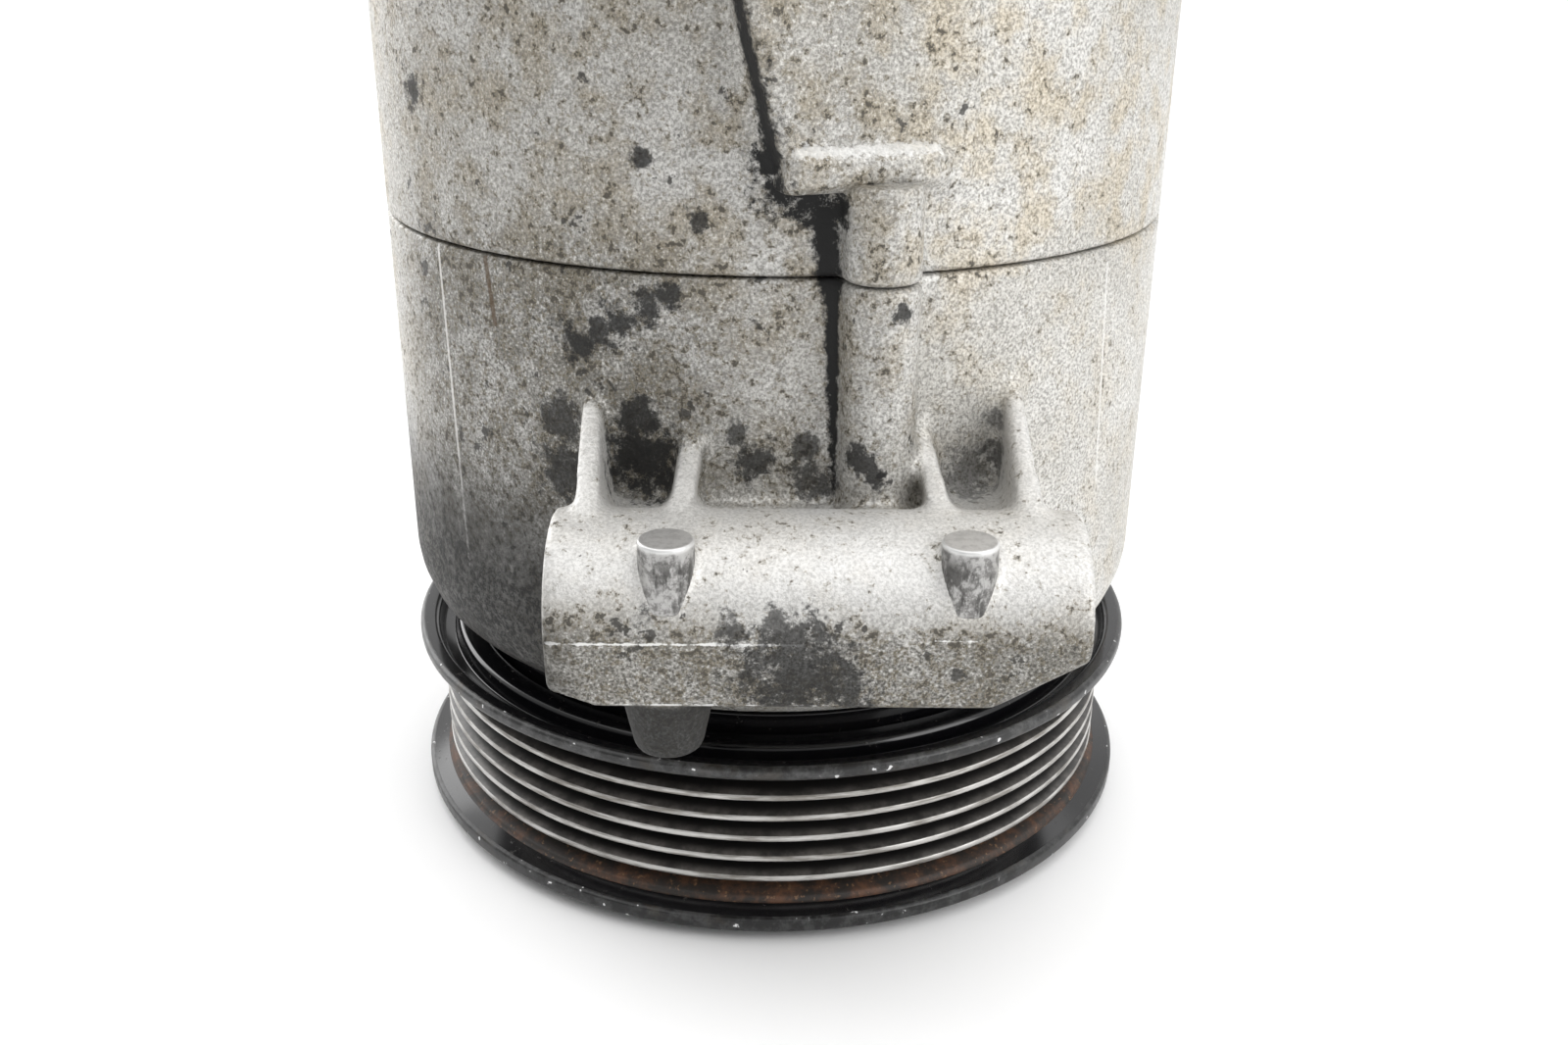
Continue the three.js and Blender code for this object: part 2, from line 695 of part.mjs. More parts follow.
function rearHead() {
  const body = turned(
    [
      [0, HEAD_BOTTOM],
      [BODY_R, HEAD_BOTTOM],
      [BODY_R, TOP_Z - 5],
      [59.5, TOP_Z - 1],
      [57.5, TOP_Z],
      [0, TOP_Z],
    ],
    FINE,
  );
  const { x, y0, y1, bottom, top } = PORT_BLOCK;
  const portBlock = block(-x, x, y0, y1, bottom, top);
  const ports = [SUCTION_PORT, DISCHARGE_PORT].map((port) =>
    at(disc(port.r, top - PORT_DEPTH, top + 1, ROUND), port.x, PORT_Y),
  );
  const studHole = at(disc(3.4, top - 12, top + 1, SMALL), 0.5, -13);
  const control = CONTROL_BOSS;
  const relief = RELIEF_BOSS;
  const bosses = [
    rodX(control.r, control.x0, control.x1, control.y, control.z, MEDIUM),
    rodX(relief.r, relief.x0, relief.x1, relief.y, relief.z, ROUND),
  ];
  const bores = [
    rodX(8.6, 28, control.x1 + 1, control.y, control.z, ROUND),
    rodX(5.3, relief.x0 - 1, -50, relief.y, relief.z, ROUND),
  ];
  const boltHoles = boltPositions(() => disc(BOLT_R + GAP, HEAD_BOTTOM - 1, TOP_Z + 1, SMALL));
  const seats = boltPositions(() => disc(6.6, TOP_Z - 1.5, TOP_Z + 12, ROUND));
  const whole = joined([body, portBlock, ...bosses]);
  piece("rear_head", cut(whole, ports, studHole, bores, boltHoles, seats), CAST);
}

function headValves() {
  const control = CONTROL_BOSS;
  const controlValve = joined([
    rodX(8.3, 30, 62, control.y, control.z, ROUND),
    rodX(7.4, 61, 69, control.y, control.z, ROUND),
    block(63, 74, control.y - 5, control.y + 5, control.z - 3.5, control.z + 3.5),
  ]);
  piece("control_valve", controlValve, BLACK_STEEL);
  const relief = RELIEF_BOSS;
  const reliefValve = joined([
    rodX(5, -66, -51, relief.y, relief.z, ROUND),
    rodX(8, -70.5, -65.3, relief.y, relief.z, 6),
  ]);
  piece("relief_valve", reliefValve, STEEL);
}

function throughBolts() {
  around(BOLT_COUNT, 30, (a, i) => {
    const seat = TOP_Z - 1.5 + GAP;
    const bolt = joined([
      disc(BOLT_R, 86, seat + 1, SMALL),
      disc(6, seat, seat + 1.2, ROUND),
      disc(5, seat + 1, seat + 6, 6),
    ]);
    piece(`through_bolt_${i + 1}`, at(bolt, BOLT_CIRCLE_R, 0).rotate([0, 0, a]), STEEL);
  });
}

pulleyRotor();
bearing();
snapRing("bearing_snap_ring", 24.4, 27.3, 26.7, 27.6, 30);
snapRing("nose_snap_ring", 16.4, 19.6, 7.95, 8.95, 200);
snapRing("coil_snap_ring", 19.7, 23.6, 29.7, 30.5, 120);
fieldCoil();
armature();
hubAndSprings();
frontHousing();
shaftAssembly();
pistons();
cylinderBlock();
platesUnderHead();
rearHead();
headValves();
throughBolts();

export default compressor;
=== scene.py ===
"""Looks of an air-conditioning compressor that stands on its electromagnetic clutch.

Lengths are millimetres in the row frame until a mesh is made, which turns them to metres.
+Z runs up the shaft from the clutch's front face at z = 0, and -Y is the side with the long tube.
"""
import json
import math

import bmesh
import bpy
import numpy as np
from mathutils import Matrix, Vector


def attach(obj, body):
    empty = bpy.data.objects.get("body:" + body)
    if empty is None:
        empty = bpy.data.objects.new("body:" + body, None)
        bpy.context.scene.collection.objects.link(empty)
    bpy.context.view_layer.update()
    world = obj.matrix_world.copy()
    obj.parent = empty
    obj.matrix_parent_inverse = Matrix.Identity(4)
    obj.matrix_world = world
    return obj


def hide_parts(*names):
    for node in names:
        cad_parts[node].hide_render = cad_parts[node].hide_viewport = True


MM = 0.001

# ---- driving dimensions, in millimetres ----
ROUND = 256  # segments round the castings and the pulley
FINE = 96  # segments round parts up to about 50 mm across
SMALL = 40  # segments round pins, bolts and bosses

BODY_R = 61.5
CHAMBER_R = 51
SEAM_HALF = 0.1  # half the gap between the two castings
SEAM_Z = 101.4
HEAD_Z = 168
HEAD_BOTTOM = 173.2
TOP_Z = 200

TUBE = {"y": -74, "z": 62.5, "r": 12, "x0": -27.4, "x1": 39.2, "bore": 5.2}
REAR_TUBE = {"y": 72, "z": 62.5, "r": 10.5, "x0": -16, "x1": 16, "bore": 5.2}
UPPER_TUBE = {"y": 71, "z": 142, "r": 10.5, "x0": -16, "x1": 16, "bore": 5.2}
# The tube's lower half is squared off, with both front corners cut away underneath.
SKIRT = {"z": 53.2, "top": -85.9, "foot": -85.0, "left": -21, "right": 27}
SKIRT_CORNERS = {"left": 55.6, "right": 60, "right_back": 54.6}  # heights at the ends
SKIRT_BACK = -70
SHELF_Z = 71
RIB_HALF = 1.25
RIB_SPREAD = 0.45  # how much thicker each side of a rib is at its foot
PEG_XS = (-12.4, 24)
PEG_Y = -82.3
PEG_TOP = 74.8
BOSS = {"x": 13.8, "y": -62.1, "r": 5}
# Each rib: where its edge leaves the body (x, z), and where it lands on the tube (x).
RIBS = (((-24, 86.3), -22.4), ((-9.8, 81.4), -12.2), ((19.4, 81.6), 22.6), ((32.6, 86.3), 32.8))
PAD_TURN = math.radians(21)
PAD_DISTANCE = 62.2

TAPERED_PIN = {"x": -13, "y": -77, "tip_z": 43.5, "tip_r": 4.4, "root_z": 54, "root_r": 6.6}
CASTING_VOXEL = 0.6  # grain of the skin that is laid round a casting's shapes

BOLT_CIRCLE_R = 55.7
BOLT_COUNT = 6
FIRST_BOLT = 30  # degrees

RIB_PITCH = 3.56
RIB_COUNT = 6
RIB_R = 58.8
GROOVE_DEPTH = 2.9
FIRST_GROOVE_Z = 7.21
GROOVE_HALF = 1.33
GROOVED = (5.2, 26.9)  # heights between which the rim is grooved
RUST_TOP = 6.6
LAST_RIB_TOP = 25.6
FLANGE_EDGE_R = 61.6
# The pulley's finishes, by the number of their material slot.
GLOSS, FRONT_EDGE, REAR_EDGE, BARE, GROOVE, RUSTY = range(6)
ROTOR_FACE = (7.5, 11)
ARMATURE = (3.1, 7.05)
HUB_T = 1.8
# Plates between the block and the head: piece, node, and heights of its two faces.
VALVE_STACK = (
    ("reed_plate_edge", "suction_reed_plate", 168.3, 168.8),
    ("valve_plate_edge", "valve_plate", 169.1, 171.9),
    ("head_gasket_edge", "head_gasket", 172.2, 172.9),
)

PORT_BLOCK = {"x": 27, "y0": -20, "y1": 13, "bottom": 188, "top": 210}
PORTS = ((13.5, -3.5, 8.2), (-14, -3.5, 6.7), (0.5, -13, 3.4))  # x, y and radius of each hole
CONTROL_BOSS = {"y": 3, "z": 187, "r": 11.5, "x0": 20, "x1": 66}
RELIEF_BOSS = {"y": -6, "z": 187, "r": 8.5, "x0": -65, "x1": -40}

FLOOR_HALF = 6000
BRIGHT_SIDE = (0.5, 0.78, 0.38)  # direction in which the sky is brightest
WORLD = (0.3, 1.05)  # strength of the sky on the dark side and on the bright side
LAMPS_AIM = (0, 0, 0.1)  # in metres
# Each lamp: name, place in metres, size in metres, power in watts.
LAMPS = (
    ("overhead", (0, 0, 3), 6, 88),
    ("right_key", (0.95, -0.65, 0.6), 0.7, 4.8),
    ("left_rim", (-1.1, 0.9, 0.6), 0.9, 8),
)

CAMERA = {"place": (0.99, -243.81, 143.6), "down": 22.42, "turn": 0.246, "roll": 0.48, "lens": 33.825}


# ---- meshes ----
def from_data(name, verts, faces):
    mesh = bpy.data.meshes.new(name)
    mesh.from_pydata([tuple(c * MM for c in v) for v in verts], [], faces)
    return shown(name, mesh)


def shown(name, mesh):
    obj = bpy.data.objects.new(name, mesh)
    bpy.context.scene.collection.objects.link(obj)
    made = bmesh.new()
    made.from_mesh(mesh)
    bmesh.ops.recalc_face_normals(made, faces=made.faces)
    made.to_mesh(mesh)
    made.free()
    return obj


def softened(points, radius, steps=4):
    """The closed outline with each corner rounded."""
    result = []
    count = len(points)
    for i, corner in enumerate(points):
        here = Vector(corner)
        back = Vector(points[i - 1]) - here
        ahead = Vector(points[(i + 1) % count]) - here
        on_axis = corner[0] == 0
        if on_axis or back.length < 1e-6 or ahead.length < 1e-6:
            result.append(tuple(here))
            continue
        reach = min(radius, back.length * 0.45, ahead.length * 0.45)
        a = here + back.normalized() * reach
        b = here + ahead.normalized() * reach
        for k in range(steps + 1):
            t = k / steps
            point = a * (1 - t) ** 2 + here * 2 * t * (1 - t) + b * t**2
            result.append(tuple(point))
    return result


def lathe(name, outline, segments=ROUND):
    """A closed outline of (radius, z) turned about Z."""
    angles = [math.tau * i / segments for i in range(segments)]
    turns = [(math.cos(angle), math.sin(angle)) for angle in angles]
    verts = []
    rings = []
    for r, z in outline:
        first = len(verts)
        if r == 0:
            verts.append((0, 0, z))
            rings.append([first] * segments)
        else:
            verts += [(r * c, r * s, z) for c, s in turns]
            rings.append(list(range(first, first + segments)))
    faces = []
    for a, b in zip(rings, rings[1:] + rings[:1]):
        for i in range(segments):
            j = (i + 1) % segments
            face = list(dict.fromkeys((a[i], a[j], b[j], b[i])))
            if len(face) > 2:
                faces.append(face)
    return from_data(name, verts, faces)


def disc(name, r, z0, z1, segments=SMALL, soft=0.0):
    outline = [(0, z0), (r, z0), (r, z1), (0, z1)]
    return lathe(name, softened(outline, soft) if soft else outline, segments)


def ring(name, inner, outer, z0, z1, segments=FINE, soft=0.3):
    outline = [(inner, z0), (outer, z0), (outer, z1), (inner, z1)]
    return lathe(name, softened(outline, soft), segments)


def prism(name, outline, z0, z1):
    """A closed outline in XY raised from z0 to z1."""
    count = len(outline)
    verts = [(x, y, z) for z in (z0, z1) for x, y in outline]
    faces = [list(range(count))[::-1], list(range(count, 2 * count))]
    faces += [[i, (i + 1) % count, count + (i + 1) % count, count + i] for i in range(count)]
    return from_data(name, verts, faces)


def box(name, x0, x1, y0, y1, z0, z1):
    return prism(name, [(x0, y0), (x1, y0), (x1, y1), (x0, y1)], z0, z1)


def moved(obj, matrix):
    obj.data.transform(matrix)
    return obj


def shifted(obj, x, y, z=0.0):
    return moved(obj, Matrix.Translation(Vector((x, y, z)) * MM))


def turned(obj, degrees, axis="Z"):
    return moved(obj, Matrix.Rotation(math.radians(degrees), 4, axis))


def along_x(obj, x, y, z):
    """Lays a shape made about Z along X, with its z = 0 at x."""
    return shifted(turned(obj, 90, "Y"), x, y, z)


def applied(obj):
    """Applies the object's modifiers to its mesh."""
    bpy.context.view_layer.update()
    graph = bpy.context.evaluated_depsgraph_get()
    mesh = bpy.data.meshes.new_from_object(obj.evaluated_get(graph))
    obj.modifiers.clear()
    old = obj.data
    obj.data = mesh
    bpy.data.meshes.remove(old)
    return obj


def joined(name, parts):
    made = bmesh.new()
    for part in parts:
        made.from_mesh(part.data)
        discard(part)
    mesh = bpy.data.meshes.new(name)
    made.to_mesh(mesh)
    made.free()
    obj = bpy.data.objects.new(name, mesh)
    bpy.context.scene.collection.objects.link(obj)
    return obj


def discard(obj):
    mesh = obj.data
    bpy.data.objects.remove(obj)
    bpy.data.meshes.remove(mesh)


def boolean(obj, tool, operation):
    modifier = obj.modifiers.new("boolean", "BOOLEAN")
    modifier.operation = operation
    modifier.solver = "EXACT"
    modifier.object = tool
    applied(obj)
    discard(tool)
    return obj


def cut(obj, tool):
    return boolean(obj, tool, "DIFFERENCE")


def fused(name, parts, voxel):
    """One skin round overlapping closed shapes."""
    obj = joined(name, parts)
    modifier = obj.modifiers.new("remesh", "REMESH")
    modifier.mode = "VOXEL"
    modifier.voxel_size = voxel * MM
    return applied(obj)


def relax(obj, steps, strength):
    """Rounds inner corners like a casting's, and keeps how far each point moved as "cavity".

    strength takes every point's place in millimetres and gives how freely it moves, 0 to 1.
    """
    mesh = obj.data
    count = len(mesh.vertices)
    place = np.empty(count * 3)
    mesh.vertices.foreach_get("co", place)
    place = place.reshape(-1, 3)
    start = place.copy()
    ends = np.empty(len(mesh.edges) * 2, dtype=np.int64)
    mesh.edges.foreach_get("vertices", ends)
    a, b = ends.reshape(-1, 2).T
    degree = np.bincount(ends, minlength=count)[:, None]
    free = strength(place / MM)[:, None]
    normals = np.empty(count * 3)

    def pull():
        sums = [np.bincount(a, place[b, k], count) + np.bincount(b, place[a, k], count) for k in range(3)]
        return np.stack(sums, 1) / degree - place

    for step in range(steps):
        if step % 5 == 0:
            mesh.vertices.foreach_set("co", place.ravel())
            mesh.update()
            mesh.vertex_normals.foreach_get("vector", normals)
        way = pull()
        outward = (way * normals.reshape(-1, 3)).sum(1)[:, None] > 0.004 * MM
        place += np.where(outward, 0.6 * free * way, 0)
    cavity = np.linalg.norm(place - start, axis=1) / MM
    for _ in range(3):
        place += 0.5 * (free > 0) * pull()
    mesh.vertices.foreach_set("co", place.ravel())
    attribute = mesh.attributes.new("cavity", "FLOAT", "POINT")
    attribute.data.foreach_set("value", cavity)
    mesh.update()
    return obj


def smooth(obj, angle):
    """Shades the mesh smooth, but for edges sharper than angle, in degrees."""
    obj.data.shade_smooth()
    sharp = math.radians(angle)
    made = bmesh.new()
    made.from_mesh(obj.data)
    for edge in made.edges:
        edge.smooth = len(edge.link_faces) != 2 or edge.calc_face_angle(0) < sharp
    made.to_mesh(obj.data)
    made.free()
    return obj


# ---- materials ----
class Paint:
    """A short way to write a node material."""

    def __init__(self, name):
        self.material = bpy.data.materials.new(name)
        self.material.use_nodes = True
        self.tree = self.material.node_tree
        self.shader = self.tree.nodes["Principled BSDF"]
        coordinates = self.tree.nodes.new("ShaderNodeTexCoord")
        self.where = coordinates.outputs["Object"]

    def link(self, value, socket):
        if isinstance(value, bpy.types.NodeSocket):
            self.tree.links.new(value, socket)
        else:
            socket.default_value = value

    def math(self, operation, a, b=0.0, clamp=False):
        node = self.tree.nodes.new("ShaderNodeMath")
        node.operation = operation
        node.use_clamp = clamp
        self.link(a, node.inputs[0])
        self.link(b, node.inputs[1])
        return node.outputs[0]

    def product(self, first, *others):
        result = first
        for other in others:
            result = self.math("MULTIPLY", result, other)
        return result

    def rest(self, amount):
        """What is left of 1."""
        return self.math("SUBTRACT", 1, amount)

    def vector(self, operation, a, b=(0, 0, 0)):
        node = self.tree.nodes.new("ShaderNodeVectorMath")
        node.operation = operation
        self.link(a, node.inputs[0])
        self.link(b, node.inputs[1])
        return node.outputs["Value" if operation in ("DISTANCE", "DOT_PRODUCT") else "Vector"]

    def noise(self, size, detail=2.0, roughness=0.5, where=None, stretch=None):
        """Noise whose features are about size millimetres across."""
        place = where or self.where
        if stretch:
            place = self.vector("MULTIPLY", place, stretch)
        node = self.tree.nodes.new("ShaderNodeTexNoise")
        self.link(place, node.inputs["Vector"])
        node.inputs["Scale"].default_value = 1 / (size * MM)
        node.inputs["Detail"].default_value = detail
        node.inputs["Roughness"].default_value = roughness
        return node.outputs["Fac"]

    def ramp(self, value, low, high, a=0.0, b=1.0):
        """value from low..high mapped smoothly to a..b."""
        node = self.tree.nodes.new("ShaderNodeMapRange")
        node.interpolation_type = "SMOOTHSTEP"
        self.link(value, node.inputs["Value"])
        self.link(low, node.inputs["From Min"])
        self.link(high, node.inputs["From Max"])
        self.link(a, node.inputs["To Min"])
        self.link(b, node.inputs["To Max"])
        return node.outputs["Result"]

    def mix(self, amount, a, b):
        node = self.tree.nodes.new("ShaderNodeMix")
        node.data_type = "RGBA"
        self.link(amount, node.inputs["Factor"])
        self.link(a if isinstance(a, bpy.types.NodeSocket) else (*a, 1), node.inputs["A"])
        self.link(b if isinstance(b, bpy.types.NodeSocket) else (*b, 1), node.inputs["B"])
        return node.outputs["Result"]

    def blend(self, amount, a, b):
        node = self.tree.nodes.new("ShaderNodeMix")
        self.link(amount, node.inputs["Factor"])
        self.link(a, node.inputs["A"])
        self.link(b, node.inputs["B"])
        return node.outputs["Result"]

    def axes(self):
        node = self.tree.nodes.new("ShaderNodeSeparateXYZ")
        self.link(self.where, node.inputs[0])
        return [self.product(out, 1 / MM) for out in node.outputs]

    def radius(self, x, y):
        """Distance from the shaft's axis, in millimetres."""
        return self.math("SQRT", self.math("ADD", self.product(x, x), self.product(y, y)))

    def uneven(self, size, detail, amount):
        """Noise about zero that roughens an edge."""
        return self.product(self.math("SUBTRACT", self.noise(size, detail, 0.78), 0.5), amount)

    def attribute(self, name):
        node = self.tree.nodes.new("ShaderNodeAttribute")
        node.attribute_name = name
        return node.outputs["Fac"]

    def bump(self, height, strength, distance, under=None):
        node = self.tree.nodes.new("ShaderNodeBump")
        node.inputs["Strength"].default_value = strength
        node.inputs["Distance"].default_value = distance * MM
        self.link(height, node.inputs["Height"])
        if under:
            self.link(under, node.inputs["Normal"])
        return node.outputs["Normal"]

    def spot(self, centre, radius, wobble, edge=0.35):
        """1 inside an uneven blob round centre, in millimetres, 0 outside."""
        target = tuple(c * MM for c in centre)
        distance = self.math("DIVIDE", self.vector("DISTANCE", self.where, target), radius * MM)
        uneven = self.math("ADD", distance, wobble)
        return self.ramp(uneven, 1 - edge, 1 + edge, 1.0, 0.0)

    def capsule(self, start, end, radius, wobble, edge=0.3):
        """1 near the line from start to end, 0 elsewhere."""
        a = Vector(start) * MM
        b = Vector(end) * MM
        along = b - a
        offset = self.vector("SUBTRACT", self.where, tuple(a))
        share = self.vector("DOT_PRODUCT", offset, tuple(along / along.length_squared))
        t = self.math("ADD", share, 0, clamp=True)
        scaled = self.tree.nodes.new("ShaderNodeVectorMath")
        scaled.operation = "SCALE"
        self.link(tuple(along), scaled.inputs[0])
        self.link(t, scaled.inputs["Scale"])
        distance = self.vector("DISTANCE", offset, scaled.outputs["Vector"])
        uneven = self.math("ADD", self.math("DIVIDE", distance, radius * MM), wobble)
        return self.ramp(uneven, 1 - edge, 1 + edge, 1.0, 0.0)

    def finish(self, color, roughness, metallic, normal=None):
        if not isinstance(color, bpy.types.NodeSocket):
            color = (*color, 1)
        self.link(color, self.shader.inputs["Base Color"])
        self.link(roughness, self.shader.inputs["Roughness"])
        self.link(metallic, self.shader.inputs["Metallic"])
        if normal:
            self.link(normal, self.shader.inputs["Normal"])
        return self.material


def largest(paint, masks):
    result = masks[0]
    for mask in masks[1:]:
        result = paint.math("MAXIMUM", result, mask)
    return result


CAST = {
    "dull": (0.56, 0.545, 0.51),
    "pale": (0.66, 0.65, 0.625),
    "yellowed": (0.55, 0.475, 0.35),
    # dark colour for painted shade together with greasy dirt
    "oil_and_shade": (0.115, 0.112, 0.10),
    # pale colour of rubbed metal on the ribs, also used for the painted highlight on the front tube's top
    "rubbed": (0.74, 0.735, 0.725),
    "pit": (0.085, 0.08, 0.07),
    "glint": (0.84, 0.83, 0.81),
    "halo": (0.20, 0.17, 0.115),
    "speck": (0.06, 0.056, 0.05),
    "stain": (0.045, 0.043, 0.04),
    "parting": (0.75, 0.74, 0.72),
    # bright colour of chipped edges, also used for the painted highlight on the ledge's top
    "chipped": (0.85, 0.85, 0.84),
    "crack": (0.09, 0.06, 0.035),
    # near black for dark dirt and for painted shade and shadow
    "grime_and_shade": (0.014, 0.014, 0.014),
}
# Greasy dirt on the castings, with painted shade in some places: blobs on the body (x, z, radius,
# darkness) and on the shapes that stand out from it (centre, radius, darkness), and strokes (start, end,
# radius).
BODY_GRIME = (
    (-25.4, 91.4, 2.9, 0.92),
    (-22.5, 93.2, 2.2, 0.88),
    (-19.5, 95, 2.3, 0.9),
    (-16, 97, 1.9, 0.9),
    (-13.2, 98.6, 1.7, 0.9),
    (-16.1, 115.9, 1.1, 0.9),
    (-9.2, 108.8, 1.5, 0.9),
    (-2.2, 77.1, 2.6, 0.88),
    (-4.5, 80.6, 1.9, 0.8),
    (4.6, 79, 2, 0.8),
    (5.2, 74.5, 2.8, 0.8),
    (30.4, 80.6, 1.7, 0.6),
    (-49, 121.5, 2.2, 0.85),
    (-17, 76, 5, 0.95),
    (-17.5, 82, 3, 0.9),
    (-28.5, 80, 3.4, 0.8),
    (-27.6, 73, 4.2, 0.85),
)
OTHER_GRIME_AND_SHADE = (
    # These four, with the strokes below, are the dark line down the pad's left side and the boss's left
    # side: dark dirt together with painted shade.
    ((0.2, -62.4, 115.6), 2.6, 1),
    ((1.4, -62, 112.6), 3.3, 1),
    ((5, -61.6, 111.2), 3.1, 1),
    ((8, -61.3, 110.2), 2.5, 1),
    ((11, -66.6, 79), 2, 0.9),
    ((13.4, -67, 76.8), 1.5, 0.9),
    ((16.5, -66.4, 98.3), 1.3, 0.9),
    # These two are painted shade: the pocket between the two right-hand ribs and the left side of the
    # rightmost rib.
    ((27, -56, 73.5), 3.4, 0.6),
    ((30.9, -55, 76), 2.2, 0.75),
    ((3, -85, 58.4), 6.4, 0.86),
    ((9, -84, 56), 3.8, 0.86),
    ((-4, -86, 64.4), 2, 0.8),
    ((1, -86, 65.2), 1.7, 0.8),
    ((-15, -84, 65.5), 1.5, 0.8),
    ((29, -83, 58), 2, 0.7),
)
# Strokes of dark dirt with painted shade down the pad's left side wall and the boss's left side.
GRIME_AND_SHADE_STROKES = (
    ((-4.5, -65, 142), (-3.0, -64.7, 134), 2.3),
    ((-3.0, -64.7, 134), (0.4, -63.6, 118), 2.3),
    ((6.4, -61.4, 109), (7.4, -61.3, 100), 1.7),
    ((7.6, -61.4, 100), (9.1, -61.2, 71), 1.15),
)
# Thin bright parting lines left by the mould, and one dark crack: (x, z) on the body at both ends.
PARTING_LINES = (((-46.4, 101), (-45.3, 53)), ((46.7, 99), (48.4, 66)))
CRACK = ((-38.5, 101), (-37.6, 92))
# Edges knocked bright in places: on the tube's squared-off half and at the pad's left side.
CHIPPED_EDGES = (
    ((-27.4, -85.9, 62.5), (4, -85.9, 62.5), 0.22),
    ((20, -85.9, 63.2), (28, -85.7, 63.2), 0.17),
    ((-20, -85, 53.6), (6, -85, 53.6), 0.2),
    ((-2.3, -67.8, 134), (-2.3, -67.8, 158), 0.16),
    ((1.2, -66.4, 118.8), (-2.3, -67.8, 134), 0.16),
)
# A painted highlight along the sloping top of the ledge under the pad, where the overhead light falls:
# start, end, radius.
LEDGE_HIGHLIGHT = ((3.1, -66.4, 117.6), (20.2, -59.8, 117.6), 0.85)


def on_body(x, z):
    """The point at this x and height on the body's -Y side."""
    return (x, -math.sqrt(BODY_R**2 - x * x), z)


class CastSurface:
    """The places and noises that the layers of the castings' finish share."""

    def __init__(self, paint):
        self.x, self.y, self.z = paint.axes()
        self.r = paint.radius(self.x, self.y)
        self.patchy = paint.noise(7, 4, 0.6)
        self.fine = paint.noise(0.42, 2, 0.7)
        self.grain = paint.noise(1.15, 3, 0.7)
        self.blots = paint.noise(4.4, 4, 0.68)


def bare_casting(paint, at):
    """The metal's own colour, paler and duller by area and yellowed in patches."""
    broad = paint.ramp(paint.noise(26, 3), 0.35, 0.65)
    color = paint.mix(broad, CAST["dull"], CAST["pale"])
    yellowed = paint.product(paint.ramp(at.patchy, 0.42, 0.66), paint.ramp(at.z, 84, 108, 0.3, 0.68))
    return paint.mix(yellowed, color, CAST["yellowed"])


def rubbed_clean_and_highlit(paint, at):
    """How clean and pale the raised shapes are: rubbed clean on the ribs, and a painted highlight on the
    top of the front tube, which faces the overhead light.
    """
    on_boss = paint.ramp(paint.math("ABSOLUTE", paint.math("SUBTRACT", at.x, BOSS["x"])), 6.4, 5.4)
    raised = paint.product(paint.ramp(at.r, 62.6, 64.5), paint.rest(on_boss), paint.ramp(at.z, 63, 70))
    # Painted highlight on the top half of the front tube, which faces the overhead light.
    tube_top = paint.product(paint.ramp(at.y, -68, -72), paint.ramp(at.z, 62.5, 70))
    return paint.product(largest(paint, [raised, tube_top]), paint.ramp(at.z, 112, 90))


def shade_and_oiliness(paint, at, raised):
    """Painted shade together with settled greasy dirt: most on the left, low down and under the tube,
    where less light falls.
    """
    left_side = paint.ramp(at.x, -60, -47)
    # Painted shade on the left, away from the right-hand lamp, mixed with settled dirt, except at the far
    # left edge.
    left = paint.product(paint.ramp(at.x, 24, -22), left_side, paint.ramp(at.z, 118, 96, 0.4, 1.0))
    middle = paint.product(paint.ramp(at.x, 26, 8), left_side, 0.55)
    # Painted shade, with dirt, on the underside of the front tube.
    under = paint.product(paint.ramp(at.z, 69, 61), paint.ramp(at.y, -72, -80))
    on_body = paint.product(largest(paint, [left, middle]), paint.rest(raised))
    return largest(paint, [on_body, under]), under


def grained(paint, at, color, raised, oily_and_shaded, under):
    """Fine dark pits and light glints in the metal."""
    calm = paint.rest(paint.product(raised, 0.55))
    depth = largest(paint, [paint.product(oily_and_shaded, 0.8), paint.product(under, 0.95), 0.55])
    pits = paint.product(paint.ramp(at.fine, 0.36, 0.58, depth, 0.0), calm)
    color = paint.mix(pits, color, CAST["pit"])
    return paint.mix(paint.ramp(at.fine, 0.58, 0.7, 0.0, 0.45), color, CAST["glint"])


def specked(paint, at, color, raised, oily_and_shaded):
    """Dark specks with brownish edges, and larger stains, gathered where the painted shade and greasy dirt
    lie.
    """
    clean = largest(paint, [raised, paint.ramp(at.x, 26, 34, 0.0, 0.9)])
    dense = paint.math("SUBTRACT", paint.product(oily_and_shaded, 0.055), paint.product(clean, 0.03))
    clustered = paint.math("ADD", dense, paint.ramp(at.patchy, 0.35, 0.7, -0.04, 0.04))
    gathered = paint.math("ADD", at.grain, clustered)
    color = paint.mix(paint.ramp(gathered, 0.55, 0.63, 0.0, 0.55), color, CAST["halo"])
    color = paint.mix(paint.ramp(gathered, 0.625, 0.675, 0.0, 0.8), color, CAST["speck"])
    stain = paint.ramp(paint.math("ADD", at.blots, dense), 0.675, 0.705, 0.0, 0.85)
    return paint.mix(stain, color, CAST["stain"])


def edge_marks(paint, color):
    """The mould's parting lines, chipped edges, a painted highlight on the ledge's top, and the crack."""
    thin = paint.uneven(1.5, 2, 0.8)
    ends = [(on_body(*a), on_body(*b)) for a, b in PARTING_LINES]
    lines = largest(paint, [paint.capsule(a, b, 0.26, thin) for a, b in ends])
    color = paint.mix(paint.product(lines, 0.6), color, CAST["parting"])
    chipped = paint.math("ADD", paint.uneven(2.6, 4, 6), 0.35)
    edges = largest(paint, [paint.capsule(*edge, chipped) for edge in CHIPPED_EDGES])
    color = paint.mix(paint.product(edges, 0.75), color, CAST["chipped"])
    # Painted highlight along the ledge's top, in the chipped edges' bright colour.
    ledge_highlight = paint.capsule(*LEDGE_HIGHLIGHT, paint.uneven(1.1, 5, 6))
    color = paint.mix(paint.product(ledge_highlight, 0.5), color, CAST["chipped"])
    top, bottom = [on_body(*end) for end in CRACK]
    return paint.mix(paint.product(paint.capsule(top, bottom, 0.4, thin), 0.8), color, CAST["crack"])


